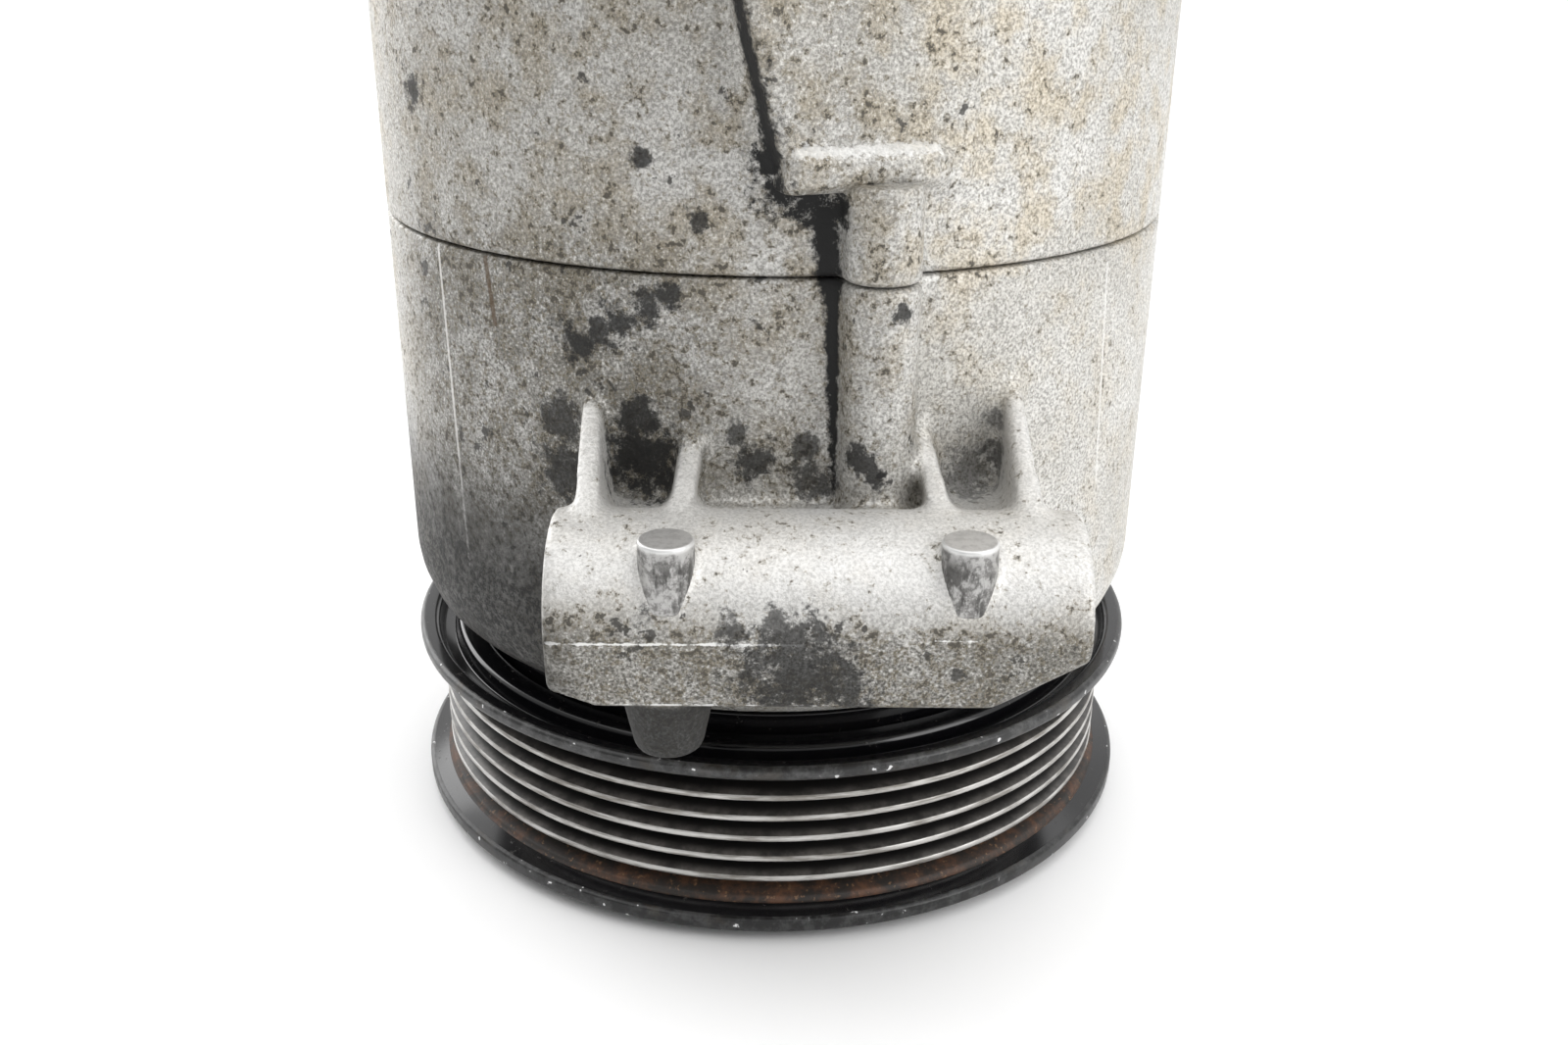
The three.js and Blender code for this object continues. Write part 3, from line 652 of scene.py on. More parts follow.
def grime_and_shade_on_casting(paint, at, raised):
    """Thick dark dirt mixed with painted shade: patches, strokes, inner corners, the left side's foot, and
    a painted shadow on the tapered pin.
    """
    wobble = paint.uneven(2.4, 6, 4.8)
    wisp = paint.uneven(1.3, 5, 2.3)
    places = [(on_body(x, z), size, dark) for x, z, size, dark in BODY_GRIME]
    places += OTHER_GRIME_AND_SHADE
    blobs = [paint.product(paint.spot(place, size, wobble), dark) for place, size, dark in places]
    strokes = [paint.capsule(a, b, size, wisp) for a, b, size in GRIME_AND_SHADE_STROKES]
    calm = paint.rest(paint.product(raised, 0.55))
    patchy = paint.ramp(at.blots, 0.38, 0.6, 0.1, 0.75)
    # Painted shade in the inner corners, where the skin was pulled in, broken into patches and mixed with
    # dark dirt.
    corner = paint.product(paint.ramp(paint.attribute("cavity"), 0.3, 1.0), patchy, calm)
    low = paint.product(paint.ramp(at.z, 88, 50), paint.ramp(at.x, -16, -32))
    creeping = paint.ramp(paint.math("ADD", at.grain, low), 0.55, 1.25)
    sandy = paint.ramp(paint.math("ADD", at.fine, at.grain), 0.8, 1.15, 0.68, 1.0)
    foot = paint.product(low, creeping, sandy)
    # Painted shadow: the tapered pin, deep under the tube's squared-off half, is painted dark.
    pin = paint.product(paint.ramp(at.z, 53.4, 51.8), paint.ramp(at.y, -66, -70, 0.0, 0.9))
    return largest(paint, [*blobs, *strokes, corner, foot, pin])


def cast_aluminium():
    paint = Paint("cast_aluminium")
    at = CastSurface(paint)
    raised = rubbed_clean_and_highlit(paint, at)
    oily_and_shaded, under = shade_and_oiliness(paint, at, raised)
    # Painted shade mixed with greasy dirt darkens the bare metal on the left, low down and under the tube.
    film = paint.product(oily_and_shaded, paint.ramp(at.patchy, 0.3, 0.62, 0.6, 1.1), 0.72)
    color = paint.mix(film, bare_casting(paint, at), CAST["oil_and_shade"])
    # Paler where rubbed on the ribs, with a painted highlight on the front tube's top.
    color = paint.mix(paint.product(raised, 0.6), color, CAST["rubbed"])
    color = grained(paint, at, color, raised, oily_and_shaded, under)
    color = specked(paint, at, color, raised, oily_and_shaded)
    color = edge_marks(paint, color)
    # Dark dirt, with painted shade in inner corners and pockets and a painted shadow on the tapered pin.
    grime_and_shade = grime_and_shade_on_casting(paint, at, raised)
    color = paint.mix(grime_and_shade, color, CAST["grime_and_shade"])
    height = paint.math("ADD", paint.math("ADD", at.fine, at.grain), paint.product(at.blots, 0.7))
    normal = paint.bump(height, 0.6, 0.12, paint.bump(paint.noise(5, 2), 0.3, 0.2))
    roughness = paint.blend(grime_and_shade, paint.ramp(at.grain, 0.3, 0.7, 0.4, 0.58), 0.66)
    metallic = paint.blend(grime_and_shade, 0.5, 0.0)
    paint.shader.inputs["Specular IOR Level"].default_value = 0.25
    return paint.finish(color, roughness, metallic, normal)


def worn_and_lit_aluminium():
    """The pegs: rubbed bright round the top edge, with a painted highlight on the top face, streaked with
    dirt down the sides.
    """
    paint = Paint("worn_cast_aluminium_lit_top")
    z = paint.axes()[2]
    scratches = paint.noise(1.2, 4, 0.75)
    streaks = paint.noise(2.2, 4, 0.7, stretch=(1, 1, 0.35))
    color = paint.mix(paint.ramp(scratches, 0.42, 0.62), (0.42, 0.415, 0.405), (0.17, 0.165, 0.16))
    dirt = paint.product(paint.ramp(streaks, 0.47, 0.6), paint.ramp(z, PEG_TOP - 0.5, PEG_TOP - 3))
    color = paint.mix(paint.product(dirt, 0.85), color, (0.05, 0.048, 0.045))
    below = paint.ramp(z, PEG_TOP - 0.9, PEG_TOP - 0.3)
    edge = paint.product(below, paint.ramp(z, PEG_TOP, PEG_TOP - 0.1))
    # Painted highlight: the peg's top face, which faces the overhead light, is painted paler.
    color = paint.mix(paint.ramp(z, PEG_TOP - 0.2, PEG_TOP - 0.05, 0.0, 0.6), color, (0.6, 0.59, 0.58))
    color = paint.mix(paint.product(edge, 0.8), color, (0.8, 0.8, 0.79))
    return paint.finish(color, 0.42, 0.6, paint.bump(scratches, 0.4, 0.06))


def gloss_black():
    paint = Paint("gloss_black_paint")
    dust = paint.ramp(paint.noise(1.4, 4, 0.65), 0.6, 0.75)
    film = paint.ramp(paint.noise(16, 3), 0.35, 0.7, 0.0, 0.25)
    color = paint.mix(film, (0.004, 0.004, 0.005), (0.014, 0.013, 0.012))
    color = paint.mix(paint.product(dust, 0.25), color, (0.08, 0.07, 0.06))
    roughness = paint.ramp(dust, 0, 1, 0.14, 0.45)
    normal = paint.bump(paint.noise(6, 2), 0.1, 0.05)
    return paint.finish(color, roughness, 0.0, normal)


def worn_rim(name, paintwork, bare):
    """Paint worn through on the edge of a flange."""
    paint = Paint(name)
    worn = paint.ramp(paint.noise(2.6, 5, 0.75), 0.42, 0.62)
    color = paint.mix(worn, paintwork, bare)
    dirt = paint.ramp(paint.noise(5, 4), 0.52, 0.7, 0, 0.5)
    color = paint.mix(dirt, color, (0.045, 0.036, 0.026))
    chips = paint.ramp(paint.noise(1.3, 2), 0.7, 0.73)
    color = paint.mix(chips, color, (0.7, 0.7, 0.7))
    normal = paint.bump(paint.noise(0.8, 3), 0.35, 0.06)
    return paint.finish(color, paint.ramp(worn, 0, 1, 0.28, 0.46), 0.25, normal)


def bare_rib():
    paint = Paint("bare_rib_tops")
    along = paint.noise(3, 4, 0.65, stretch=(0.35, 0.35, 3))
    color = paint.mix(paint.ramp(along, 0.38, 0.66), (0.58, 0.57, 0.55), (0.22, 0.205, 0.185))
    return paint.finish(color, 0.4, 0.6, paint.bump(paint.noise(0.5, 2), 0.2, 0.03))


def groove_black():
    """Dark in the bottom of each groove, dusty grey on its flanks."""
    paint = Paint("groove_black")
    x, y, z = paint.axes()
    flank = paint.ramp(paint.radius(x, y), RIB_R - 1.9, RIB_R)
    dust = paint.product(flank, paint.ramp(paint.noise(4, 4, 0.7), 0.35, 0.7, 0.25, 1.0))
    color = paint.mix(dust, (0.008, 0.007, 0.007), (0.13, 0.12, 0.11))
    patch = paint.ramp(paint.noise(7, 3), 0.42, 0.62, 0.1, 0.8)
    brown = paint.product(paint.ramp(z, 24.5, 26.4), patch)
    color = paint.mix(brown, color, (0.035, 0.02, 0.012))
    return paint.finish(color, 0.38, 0.1, paint.bump(dust, 0.2, 0.05))


def rusty_groove():
    paint = Paint("rusty_groove")
    patch = paint.ramp(paint.noise(5, 6, 0.75), 0.42, 0.7)
    color = paint.mix(patch, (0.016, 0.012, 0.009), (0.105, 0.045, 0.021))
    color = paint.mix(paint.ramp(paint.noise(0.9, 3), 0.6, 0.72, 0, 0.7), color, (0.22, 0.12, 0.06))
    return paint.finish(color, 0.6, 0.0, paint.bump(paint.noise(0.6, 4), 0.5, 0.08))


def machined(name, color, roughness=0.32):
    paint = Paint(name)
    lines = paint.noise(0.6, 2, 0.5, stretch=(1, 1, 0.15))
    shade = tuple(c * 0.72 for c in color)
    base = paint.mix(paint.ramp(paint.noise(4, 3), 0.4, 0.7), color, shade)
    rough = paint.ramp(lines, 0.3, 0.7, roughness - 0.07, roughness + 0.1)
    return paint.finish(base, rough, 0.95, paint.bump(lines, 0.15, 0.02))


def moulded(name, color, roughness=0.6):
    paint = Paint(name)
    shade = tuple(min(1, c * 1.6 + 0.01) for c in color)
    base = paint.mix(paint.ramp(paint.noise(5, 3), 0.4, 0.75), color, shade)
    rough = paint.ramp(paint.noise(1.5, 3), 0.3, 0.7, roughness - 0.08, roughness + 0.08)
    return paint.finish(base, rough, 0.0, paint.bump(paint.noise(0.5, 2), 0.25, 0.03))


def copper():
    paint = Paint("enamelled_copper")
    turns = paint.noise(0.8, 1, 0.4, stretch=(0.1, 0.1, 1))
    color = paint.mix(paint.ramp(turns, 0.4, 0.6), (0.42, 0.15, 0.06), (0.62, 0.27, 0.12))
    return paint.finish(color, 0.35, 0.7, paint.bump(turns, 0.5, 0.1))


# ---- castings ----
def long_tube(name, tube):
    length = tube["x1"] - tube["x0"]
    made = disc(name, tube["r"], 0, length, FINE, 0.7)
    return along_x(made, tube["x0"], tube["y"], tube["z"])


def tube_bore(tube):
    length = tube["x1"] - tube["x0"] + 4
    return along_x(disc("bore", tube["bore"], 0, length, FINE), tube["x0"] - 2, tube["y"], tube["z"])


def hull(name, points):
    made = bmesh.new()
    for point in points:
        made.verts.new(Vector(point) * MM)
    bmesh.ops.convex_hull(made, input=made.verts)
    mesh = bpy.data.meshes.new(name)
    made.to_mesh(mesh)
    made.free()
    return shown(name, mesh)


def front_skirt():
    """The squared-off lower half of the front tube."""
    x0, x1, top = TUBE["x0"], TUBE["x1"], TUBE["z"]
    z, foot, back = SKIRT["z"], SKIRT["foot"], SKIRT_BACK
    points = [(x, y, top) for x in (x0, x1) for y in (SKIRT["top"], back)]
    points += [(x0, foot, SKIRT_CORNERS["left"]), (x0, TUBE["y"], z), (x0, back, z)]
    points += [(SKIRT["left"], foot, z), (SKIRT["right"], foot, z), (SKIRT["right"], back, z)]
    points += [(x1, foot, SKIRT_CORNERS["right"])]
    points += [(x1, y, SKIRT_CORNERS["right_back"]) for y in (TUBE["y"], back)]
    return hull("skirt", points)


def rib_plate(top, foot):
    """A rib from the body to the tube, thicker at its foot, with a rounded edge."""
    x, z = top
    surface = math.sqrt(BODY_R**2 - x * x)
    path = [(-surface + 5, z + 3.2), (-surface - 0.2, z), (-surface - 1.6, z - 2)]
    path += [(TUBE["y"] - 5.5, SHELF_Z + 1.2), (TUBE["y"] - 5.5, SHELF_Z - 6), (-surface + 5, SHELF_Z - 6)]
    verts = []
    for side in (-1, 1):
        for py, pz in path:
            lean = (z - pz) / (z - SHELF_Z)
            middle = x + (foot - x) * min(1.2, max(0, lean))
            half = RIB_HALF + RIB_SPREAD * min(1, max(0, lean))
            verts.append((middle + side * half, py, pz))
    count = len(path)
    faces = [list(range(count))[::-1], list(range(count, 2 * count))]
    faces += [[i, (i + 1) % count, count + (i + 1) % count, count + i] for i in range(count)]
    return from_data("rib", verts, faces)


def boss_piece(z0, z1):
    x, y, r = BOSS["x"], BOSS["y"], BOSS["r"]
    round_part = shifted(disc("boss", r, z0, z1, FINE), x, y)
    neck = box("neck", -r, r, 0, 9, z0, z1)
    return [round_part, shifted(turned(neck, 12.6), x, y)]


def web(tube, z0, z1):
    y0, y1 = sorted((tube["y"], math.copysign(50, tube["y"])))
    return box("web", tube["x0"] + 5, tube["x1"] - 5, y0, y1, z0, z1)


def tapered_pin():
    pin = TAPERED_PIN
    outline = [(0, pin["tip_z"]), (pin["tip_r"], pin["tip_z"])]
    outline += [(pin["root_r"], pin["root_z"]), (0, pin["root_z"])]
    return shifted(lathe("tapered", softened(outline, 0.8), FINE), pin["x"], pin["y"])


def front_housing():
    bowl = [(0, 35), (51, 35), (54, 35.4), (57.3, 37), (59.5, 39.5), (61.1, 43.6), (BODY_R, 46.5)]
    bowl += [(BODY_R, SEAM_Z - SEAM_HALF), (0, SEAM_Z - SEAM_HALF)]
    tube_top = cut(long_tube("tube", TUBE), box("below", -90, 90, -100, -40, 40, TUBE["z"]))
    parts = [lathe("bowl", bowl), tube_top, front_skirt()]
    parts += [box("web", TUBE["x0"] + 5, TUBE["x1"] - 5, TUBE["y"], -50, SKIRT["z"], SHELF_Z)]
    parts += [long_tube("rear_tube", REAR_TUBE), web(REAR_TUBE, 55, 71)]
    parts += [rib_plate(top, foot) for top, foot in RIBS]
    for x in PEG_XS:
        parts.append(shifted(disc("peg_core", 3.3, 60, PEG_TOP - 0.2, FINE), x, PEG_Y))
    parts += boss_piece(64, SEAM_Z - SEAM_HALF)
    parts.append(tapered_pin())
    casting = fused("front_housing_casting", parts, CASTING_VOXEL)

    def outside(place):
        x, y, z = place.T
        free = (np.hypot(x, y) > 57) & (z > 36) & (z < SEAM_Z - 1.2)
        on_tube = (y < -70) & (z < 72)
        return free * np.where(on_tube, 0.3, 1.0)

    casting = relax(casting, 16, outside)
    nose = [(8.5, 6.3), (17.2, 6.3), (17.2, 26.6), (20.4, 26.6), (20.4, 33.4), (36, 33.4)]
    nose += [(36, 40), (8.5, 40)]
    casting = boolean(casting, lathe("nose", nose, FINE), "UNION")
    chamber = [(0, 46), (47, 46), (CHAMBER_R, 50), (CHAMBER_R, SEAM_Z + 3), (0, SEAM_Z + 3)]
    casting = cut(casting, lathe("chamber", chamber, ROUND))
    casting = cut(casting, disc("shaft_bore", 11.3, 5, 50, FINE))
    for tube in (TUBE, REAR_TUBE):
        casting = cut(casting, tube_bore(tube))
    return smooth(casting, 50)


def pegs():
    """The two pegs' rubbed outsides, over the casting's own cores."""
    made = []
    for x in PEG_XS:
        outline = [(0, 66), (3.5, 66), (3.45, PEG_TOP), (0, PEG_TOP)]
        made.append(shifted(lathe("peg", softened(outline, 0.45), FINE), x, PEG_Y))
    return smooth(joined("pegs", made), 60)


def pad_frame(made):
    """Stands a shape made in XZ with its thickness along -Y on the pad's plane."""
    out = Vector((math.sin(PAD_TURN), -math.cos(PAD_TURN), 0)) * PAD_DISTANCE
    return shifted(turned(made, math.degrees(PAD_TURN)), out.x, out.y)


def pad():
    outline = [(-20, 112.6), (3, 112.6), (3, 158), (-27, 158), (-27, 134), (-23.2, 118.5), (-22, 115)]
    slab = turned(prism("pad", outline, 0, 14), 90, "X")
    return pad_frame(shifted(slab, 0, 14))


def ledge():
    """The crisp lip along the pad's foot."""
    section = [(3, 118.5), (0, 118.3), (-1.7, 116.5), (-1.7, 113.7), (-0.7, 112.5), (3, 112.5)]
    ends = ((-22.2, 1.2), (-20.9, 0), (-3, 0), (0.4, 1.5))
    verts = [(u, v + back, z) for u, back in ends for v, z in section]
    count = len(section)
    faces = [list(range(count))[::-1], list(range(3 * count, 4 * count))]
    for k in range(len(ends) - 1):
        for i in range(count):
            j = (i + 1) % count
            faces.append([k * count + i, k * count + j, (k + 1) * count + j, (k + 1) * count + i])
    made = pad_frame(from_data("ledge", verts, faces))
    bevel = made.modifiers.new("bevel", "BEVEL")
    bevel.width = 0.35 * MM
    bevel.segments = 3
    return smooth(applied(made), 50)


def cylinder_block():
    foot = SEAM_Z + SEAM_HALF
    body = [(0, foot), (BODY_R, foot), (BODY_R, HEAD_Z), (0, HEAD_Z)]
    parts = [lathe("block", body), long_tube("upper_tube", UPPER_TUBE), web(UPPER_TUBE, 134, 150)]
    parts += boss_piece(foot, 113.5)
    parts.append(pad())
    casting = fused("cylinder_block_casting", parts, CASTING_VOXEL)

    def outside(place):
        x, y, z = place.T
        free = (np.hypot(x, y) > 58) & (z > SEAM_Z + 1.2) & (z < HEAD_Z - 1)
        on_pad = (y < -50) & (z > 111)
        return free * np.where(on_pad, 0.15, 1.0)

    casting = relax(casting, 10, outside)
    bores = [(0, 100), (50.7, 100), (50.7, 104.6), (47.6, 104.6), (47.6, 166), (0, 166)]
    casting = cut(casting, lathe("bores", bores, ROUND))
    casting = cut(casting, tube_bore(UPPER_TUBE))
    return smooth(casting, 50)


def boss_along_x(boss):
    made = disc("boss", boss["r"], 0, boss["x1"] - boss["x0"], FINE, 0.7)
    return along_x(made, boss["x0"], boss["y"], boss["z"])


def rear_head():
    body = [(0, HEAD_BOTTOM), (BODY_R, HEAD_BOTTOM), (BODY_R, 194.6), (59.9, 198.6)]
    body += [(57.5, TOP_Z), (0, TOP_Z)]
    port = PORT_BLOCK
    block = box("port_block", -port["x"], port["x"], port["y0"], port["y1"], port["bottom"], port["top"])
    parts = [lathe("head", body), block, boss_along_x(CONTROL_BOSS), boss_along_x(RELIEF_BOSS)]
    casting = fused("rear_head_casting", parts, 0.7)

    def outside(place):
        x, y, z = place.T
        flat = (z > port["top"] - 0.6) | (x > CONTROL_BOSS["x1"] - 0.5) | (x < RELIEF_BOSS["x0"] + 0.5)
        return (z > HEAD_BOTTOM + 1) * np.where(flat, 0.0, 1.0)

    casting = relax(casting, 14, outside)
    holes = [shifted(disc("port", r, port["top"] - 14, port["top"] + 2, FINE), x, y) for x, y, r in PORTS]
    control, relief = CONTROL_BOSS, RELIEF_BOSS
    holes.append(along_x(disc("control_bore", 8.6, 0, 40, FINE), 28, control["y"], control["z"]))
    holes.append(along_x(disc("relief_bore", 5.3, 0, 20, FINE), -70, relief["y"], relief["z"]))
    for i in range(BOLT_COUNT):
        seat = shifted(disc("seat", 6.6, TOP_Z - 1.5, TOP_Z + 14, FINE), BOLT_CIRCLE_R, 0)
        holes.append(turned(seat, FIRST_BOLT + 360 * i / BOLT_COUNT))
    return smooth(cut(casting, joined("holes", holes)), 50)


def through_bolt(index):
    seat = TOP_Z - 1.2
    flange = disc("flange", 6, seat, seat + 1.2, FINE, 0.3)
    head = lathe("head", [(0, seat), (5, seat), (5, seat + 5.3), (4.4, seat + 6), (0, seat + 6)], 6)
    shank = disc("shank", 2.8, 86, seat + 1, SMALL)
    bolt = shifted(joined("through_bolt", [flange, head, shank]), BOLT_CIRCLE_R, 0)
    return smooth(turned(bolt, FIRST_BOLT + 360 * index / BOLT_COUNT), 30)


def control_valve():
    y, z = CONTROL_BOSS["y"], CONTROL_BOSS["z"]
    body = along_x(disc("body", 8.3, 0, 32, FINE, 0.5), 30, y, z)
    cap = along_x(disc("cap", 7.4, 0, 8, FINE, 0.6), 61, y, z)
    plug = box("plug", 63, 74, y - 5, y + 5, z - 3.5, z + 3.5)
    return smooth(joined("control_valve", [body, cap, plug]), 30)


def relief_valve():
    y, z = RELIEF_BOSS["y"], RELIEF_BOSS["z"]
    body = along_x(disc("body", 5, 0, 15, FINE, 0.4), -66, y, z)
    hexagon = along_x(lathe("hexagon", [(0, 0), (7.4, 0), (8, 0.6), (8, 5.2), (0, 5.2)], 6), -70.5, y, z)
    return smooth(joined("relief_valve", [body, hexagon]), 30)


# ---- pulley and clutch ----
def pulley_outline():
    points = [(53, 7.5), (55.6, 5.2), (56.6, 1.97), (62.0, 1.97), (62.8, 2.4), (62.8, 4.3)]
    points += [(62.3, 4.6), (59.2, 5.26)]
    for k in range(RIB_COUNT):
        z = FIRST_GROOVE_Z + RIB_PITCH * k
        points += [(RIB_R, z - GROOVE_HALF), (RIB_R - GROOVE_DEPTH, z - 0.35)]
        points += [(RIB_R - GROOVE_DEPTH, z + 0.35), (RIB_R, z + GROOVE_HALF)]
    points += [(59, 26.8), (62.0, 28.4), (62.45, 28.9), (62.45, 30.1), (61.9, 30.55), (59.9, 30.55)]
    points += [(59.2, 29.9), (58.6, 27.9), (56.6, 27.7), (56.1, 29.9), (55.6, 30.4), (52.5, 30.4)]
    return points + [(51.9, 29.8), (51.9, 11), (45, 11), (45, 7.5)]


def arc_slot(radius, half, middle, sweep, z0, z1):
    """A slot along an arc, to cut away."""
    steps = 24
    angles = [math.radians(middle - sweep / 2 + sweep * i / steps) for i in range(steps + 1)]
    outer = [((radius + half) * math.cos(a), (radius + half) * math.sin(a)) for a in angles]
    inner = [((radius - half) * math.cos(a), (radius - half) * math.sin(a)) for a in reversed(angles)]
    return prism("slot", outer + inner, z0, z1)


def rotor_web():
    """The friction disc with its two rings of slots, and the sleeve round the bearing."""
    z0, z1 = ROTOR_FACE
    outline = [(24.3, z0), (47, z0), (47, z1), (30, z1), (30, 28.9), (26.3, 28.9), (26.3, 9), (24.3, 9)]
    slots = [arc_slot(36.5, 1.5, 90 * i, 66, z0 - 1, z1 + 1) for i in range(4)]
    slots += [arc_slot(45.5, 1.2, 45 + 90 * i, 70, z0 - 1, z1 + 1) for i in range(4)]
    return cut(lathe("rotor_web", outline, FINE * 2), joined("slots", slots))


def rim_finish(r, z):
    """The finish of the pulley's face at this radius and height."""
    if GROOVED[0] < z < GROOVED[1] and r > RIB_R - GROOVE_DEPTH - 0.1:
        if z < RUST_TOP:
            return RUSTY
        return BARE if r > RIB_R - 0.15 and z < LAST_RIB_TOP else GROOVE
    if r > FLANGE_EDGE_R:
        return FRONT_EDGE if z < GROOVED[0] else REAR_EDGE
    return GLOSS


def pulley():
    rim = lathe("pulley_rim", softened(pulley_outline(), 0.32, 3))
    made = joined("pulley_rotor_smooth", [rim, rotor_web()])
    front_edge = worn_rim("worn_front_flange", (0.012, 0.012, 0.012), (0.05, 0.05, 0.05))
    rear_edge = worn_rim("worn_rear_flange", (0.022, 0.022, 0.022), (0.075, 0.075, 0.075))
    for material in (gloss_black(), front_edge, rear_edge, bare_rib(), groove_black(), rusty_groove()):
        made.data.materials.append(material)
    for face in made.data.polygons:
        centre = face.center / MM
        face.material_index = rim_finish(math.hypot(centre.x, centre.y), centre.z)
    return smooth(made, 35)


def armature_plate():
    z0, z1 = ARMATURE
    plate = lathe("armature", softened([(30, z0), (50.5, z0), (50.5, z1), (30, z1)], 0.4), ROUND)
    slots = [arc_slot(40.5, 1.4, 60 + 120 * i, 62, z0 - 1, z1 + 1) for i in range(3)]
    return smooth(cut(plate, joined("slots", slots)), 35)


def drive_hub():
    """Three lobes, a sleeve on the shaft and a recess for the bolt's head."""
    outline = []
    for i in range(180):
        angle = math.tau * i / 180
        r = 32.5 + 8 * math.cos(3 * angle - math.pi)
        outline.append((r * math.cos(angle), r * math.sin(angle)))
    flange = prism("flange", outline, 0, HUB_T)
    hub = boolean(flange, disc("sleeve", 11.5, 1, 13, FINE), "UNION")
    hub = cut(hub, disc("bore", 6.9, -1, 14, FINE))
    hub = cut(hub, disc("recess", 8.8, -1, 5.2, FINE))
    return smooth(hub, 35)


def hub_bolt():
    head = lathe("head", [(0, 0), (5.2, 0), (5.8, 0.6), (5.8, 4), (0, 4)], 6)
    washer = disc("washer", 7.6, 4, 4.9, FINE, 0.2)
    return smooth(joined("hub_bolt", [head, washer, disc("shank", 2.9, 4.5, 17, SMALL)]), 30)


def coil_housing():
    outline = [(20.8, 30.9), (31, 30.9), (31, 12), (33, 12), (33, 30.8), (49, 30.8), (49, 12), (51.2, 12)]
    return smooth(lathe("coil_cup", softened([*outline, (51.2, 33.1), (20.8, 33.1)], 0.3)), 35)


def stack_edge(name, z0, z1):
    return smooth(ring(name, 40, 61.2, z0, z1, ROUND, 0.1), 35)


# ---- scene ----
def place_camera():
    data = bpy.data.cameras.new("camera")
    data.sensor_fit = "HORIZONTAL"
    data.sensor_width = 36
    data.lens = CAMERA["lens"]
    data.clip_start = 0.005
    camera = bpy.data.objects.new("camera", data)
    down, turn = math.radians(CAMERA["down"]), math.radians(CAMERA["turn"])
    forward = Vector((math.sin(turn) * math.cos(down), math.cos(turn) * math.cos(down), -math.sin(down)))
    roll = Matrix.Rotation(math.radians(CAMERA["roll"]), 3, "Z")
    aim = forward.to_track_quat("-Z", "Y").to_matrix() @ roll
    camera.matrix_world = Matrix.Translation(Vector(CAMERA["place"]) * MM) @ aim.to_4x4()
    bpy.context.scene.collection.objects.link(camera)
    bpy.context.scene.camera = camera
    bpy.context.scene.view_settings.view_transform = "Standard"


def light_sky():
    """Bright all round, and darker on the side away from BRIGHT_SIDE."""
    world = bpy.data.worlds.new("studio")
    world.use_nodes = True
    tree = world.node_tree
    toward = tree.nodes.new("ShaderNodeTexCoord").outputs["Generated"]
    dot = tree.nodes.new("ShaderNodeVectorMath")
    dot.operation = "DOT_PRODUCT"
    tree.links.new(toward, dot.inputs[0])
    dot.inputs[1].default_value = BRIGHT_SIDE
    strength = tree.nodes.new("ShaderNodeMapRange")
    strength.interpolation_type = "SMOOTHSTEP"
    for socket, value in zip(("From Min", "From Max", "To Min", "To Max"), (-0.9, 0.25, *WORLD)):
        strength.inputs[socket].default_value = value
    tree.links.new(dot.outputs["Value"], strength.inputs["Value"])
    tree.links.new(strength.outputs["Result"], tree.nodes["Background"].inputs["Strength"])
    tree.nodes["Background"].inputs["Color"].default_value = (1, 1, 1, 1)
    bpy.context.scene.world = world


def place_lamps():
    for name, place, size, power in LAMPS:
        light = bpy.data.lights.new(name, "AREA")
        light.shape = "SQUARE"
        light.size = size
        light.energy = power
        lamp = bpy.data.objects.new(name, light)
        lamp.location = place
        lamp.rotation_euler = (Vector(LAMPS_AIM) - Vector(place)).to_track_quat("-Z", "Y").to_euler()
        bpy.context.scene.collection.objects.link(lamp)


def lay_floor():
    reach = FLOOR_HALF
    corners = [(-reach, -reach, 0), (reach, -reach, 0), (reach, reach, 0), (-reach, reach, 0)]
    floor = from_data("floor", corners, [[0, 1, 2, 3]])
    paint = Paint("white_floor")
    mark = paint.ramp(paint.noise(60, 4), 0.55, 0.8, 0.0, 0.25)
    white = paint.mix(mark, (0.95, 0.95, 0.95), (0.88, 0.88, 0.88))
    floor.data.materials.append(paint.finish(white, 0.6, 0.0))


def add(obj, body, node, material=None):
    """Puts a finished piece on its body in place of a CAD node, with that node's material slot."""
    slot = slots[node]
    if not obj.data.materials:
        obj.data.materials.append(material or finishes[slot])
    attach(obj, body)
    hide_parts(node)


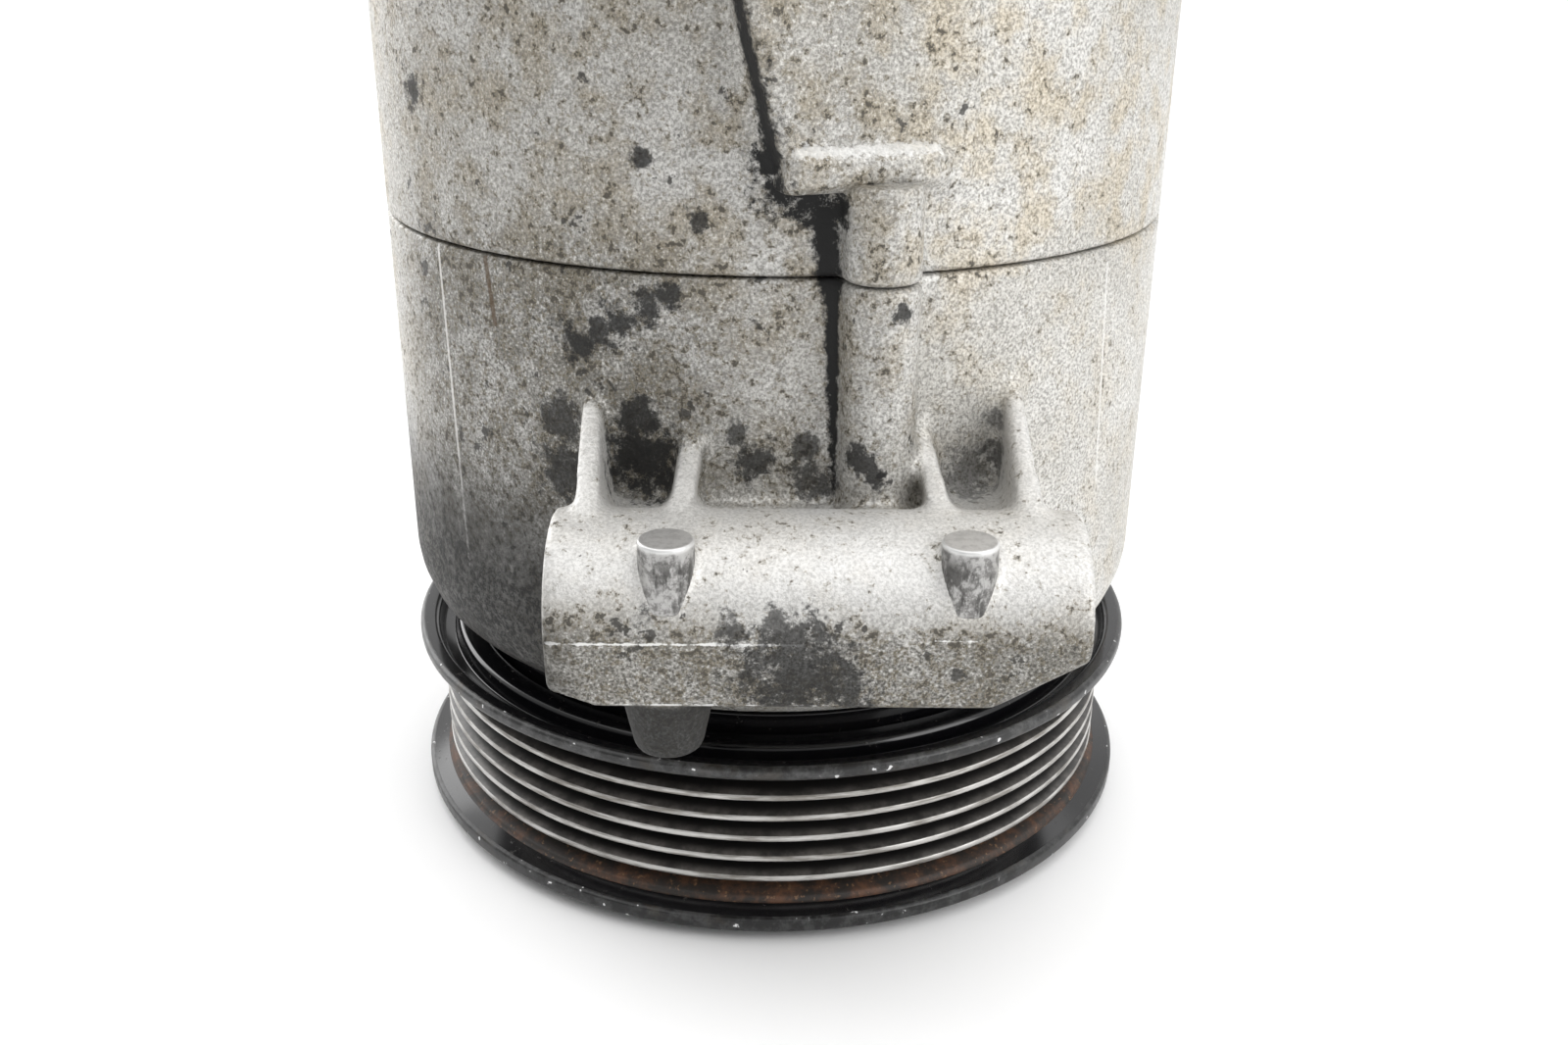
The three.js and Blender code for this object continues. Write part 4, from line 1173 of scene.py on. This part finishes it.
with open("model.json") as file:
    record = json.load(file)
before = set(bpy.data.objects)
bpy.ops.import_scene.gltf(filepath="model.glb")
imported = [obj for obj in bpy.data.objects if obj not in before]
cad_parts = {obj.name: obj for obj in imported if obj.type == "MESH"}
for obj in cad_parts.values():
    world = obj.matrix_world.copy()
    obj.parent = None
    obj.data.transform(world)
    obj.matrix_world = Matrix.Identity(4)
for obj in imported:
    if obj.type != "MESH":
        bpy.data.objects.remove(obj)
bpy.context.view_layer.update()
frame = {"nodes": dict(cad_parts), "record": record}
place_camera()
light_sky()
place_lamps()
lay_floor()
slots = {part["node"]: part["material_slot"] for part in frame["record"]["subparts"]}
finishes = {
    "cast_aluminium": cast_aluminium(),
    "machined_aluminium": machined("machined_aluminium", (0.68, 0.68, 0.67)),
    "black_paint": gloss_black(),
    "bare_steel": machined("bare_steel", (0.5, 0.5, 0.51)),
    "spring_steel": machined("spring_steel", (0.36, 0.36, 0.38), 0.26),
    "plated_steel": machined("plated_steel", (0.56, 0.55, 0.5), 0.3),
    "cast_iron": machined("cast_iron", (0.2, 0.195, 0.19), 0.55),
    "copper_winding": copper(),
    "seal_rubber": moulded("seal_rubber", (0.02, 0.02, 0.02), 0.7),
    "black_plastic": moulded("black_plastic", (0.018, 0.018, 0.019), 0.45),
    "gasket": moulded("gasket", (0.05, 0.05, 0.05), 0.65),
}
for node, slot in slots.items():
    mesh = frame["nodes"][node].data
    mesh.materials.clear()
    mesh.materials.append(finishes[slot])

add(front_housing(), "housing", "front_housing")
add(pegs(), "housing", "front_housing", worn_and_lit_aluminium())
add(cylinder_block(), "housing", "cylinder_block")
add(ledge(), "housing", "cylinder_block")
add(rear_head(), "housing", "rear_head")
for i in range(BOLT_COUNT):
    add(through_bolt(i), "housing", f"through_bolt_{i + 1}")
add(control_valve(), "housing", "control_valve")
add(relief_valve(), "housing", "relief_valve")
for piece, node, bottom, top in VALVE_STACK:
    add(stack_edge(piece, bottom, top), "housing", node)
add(coil_housing(), "housing", "coil_housing")
add(pulley(), "pulley", "pulley_rotor")
add(armature_plate(), "armature", "armature_plate")
add(drive_hub(), "shaft", "drive_hub")
add(hub_bolt(), "shaft", "hub_bolt")
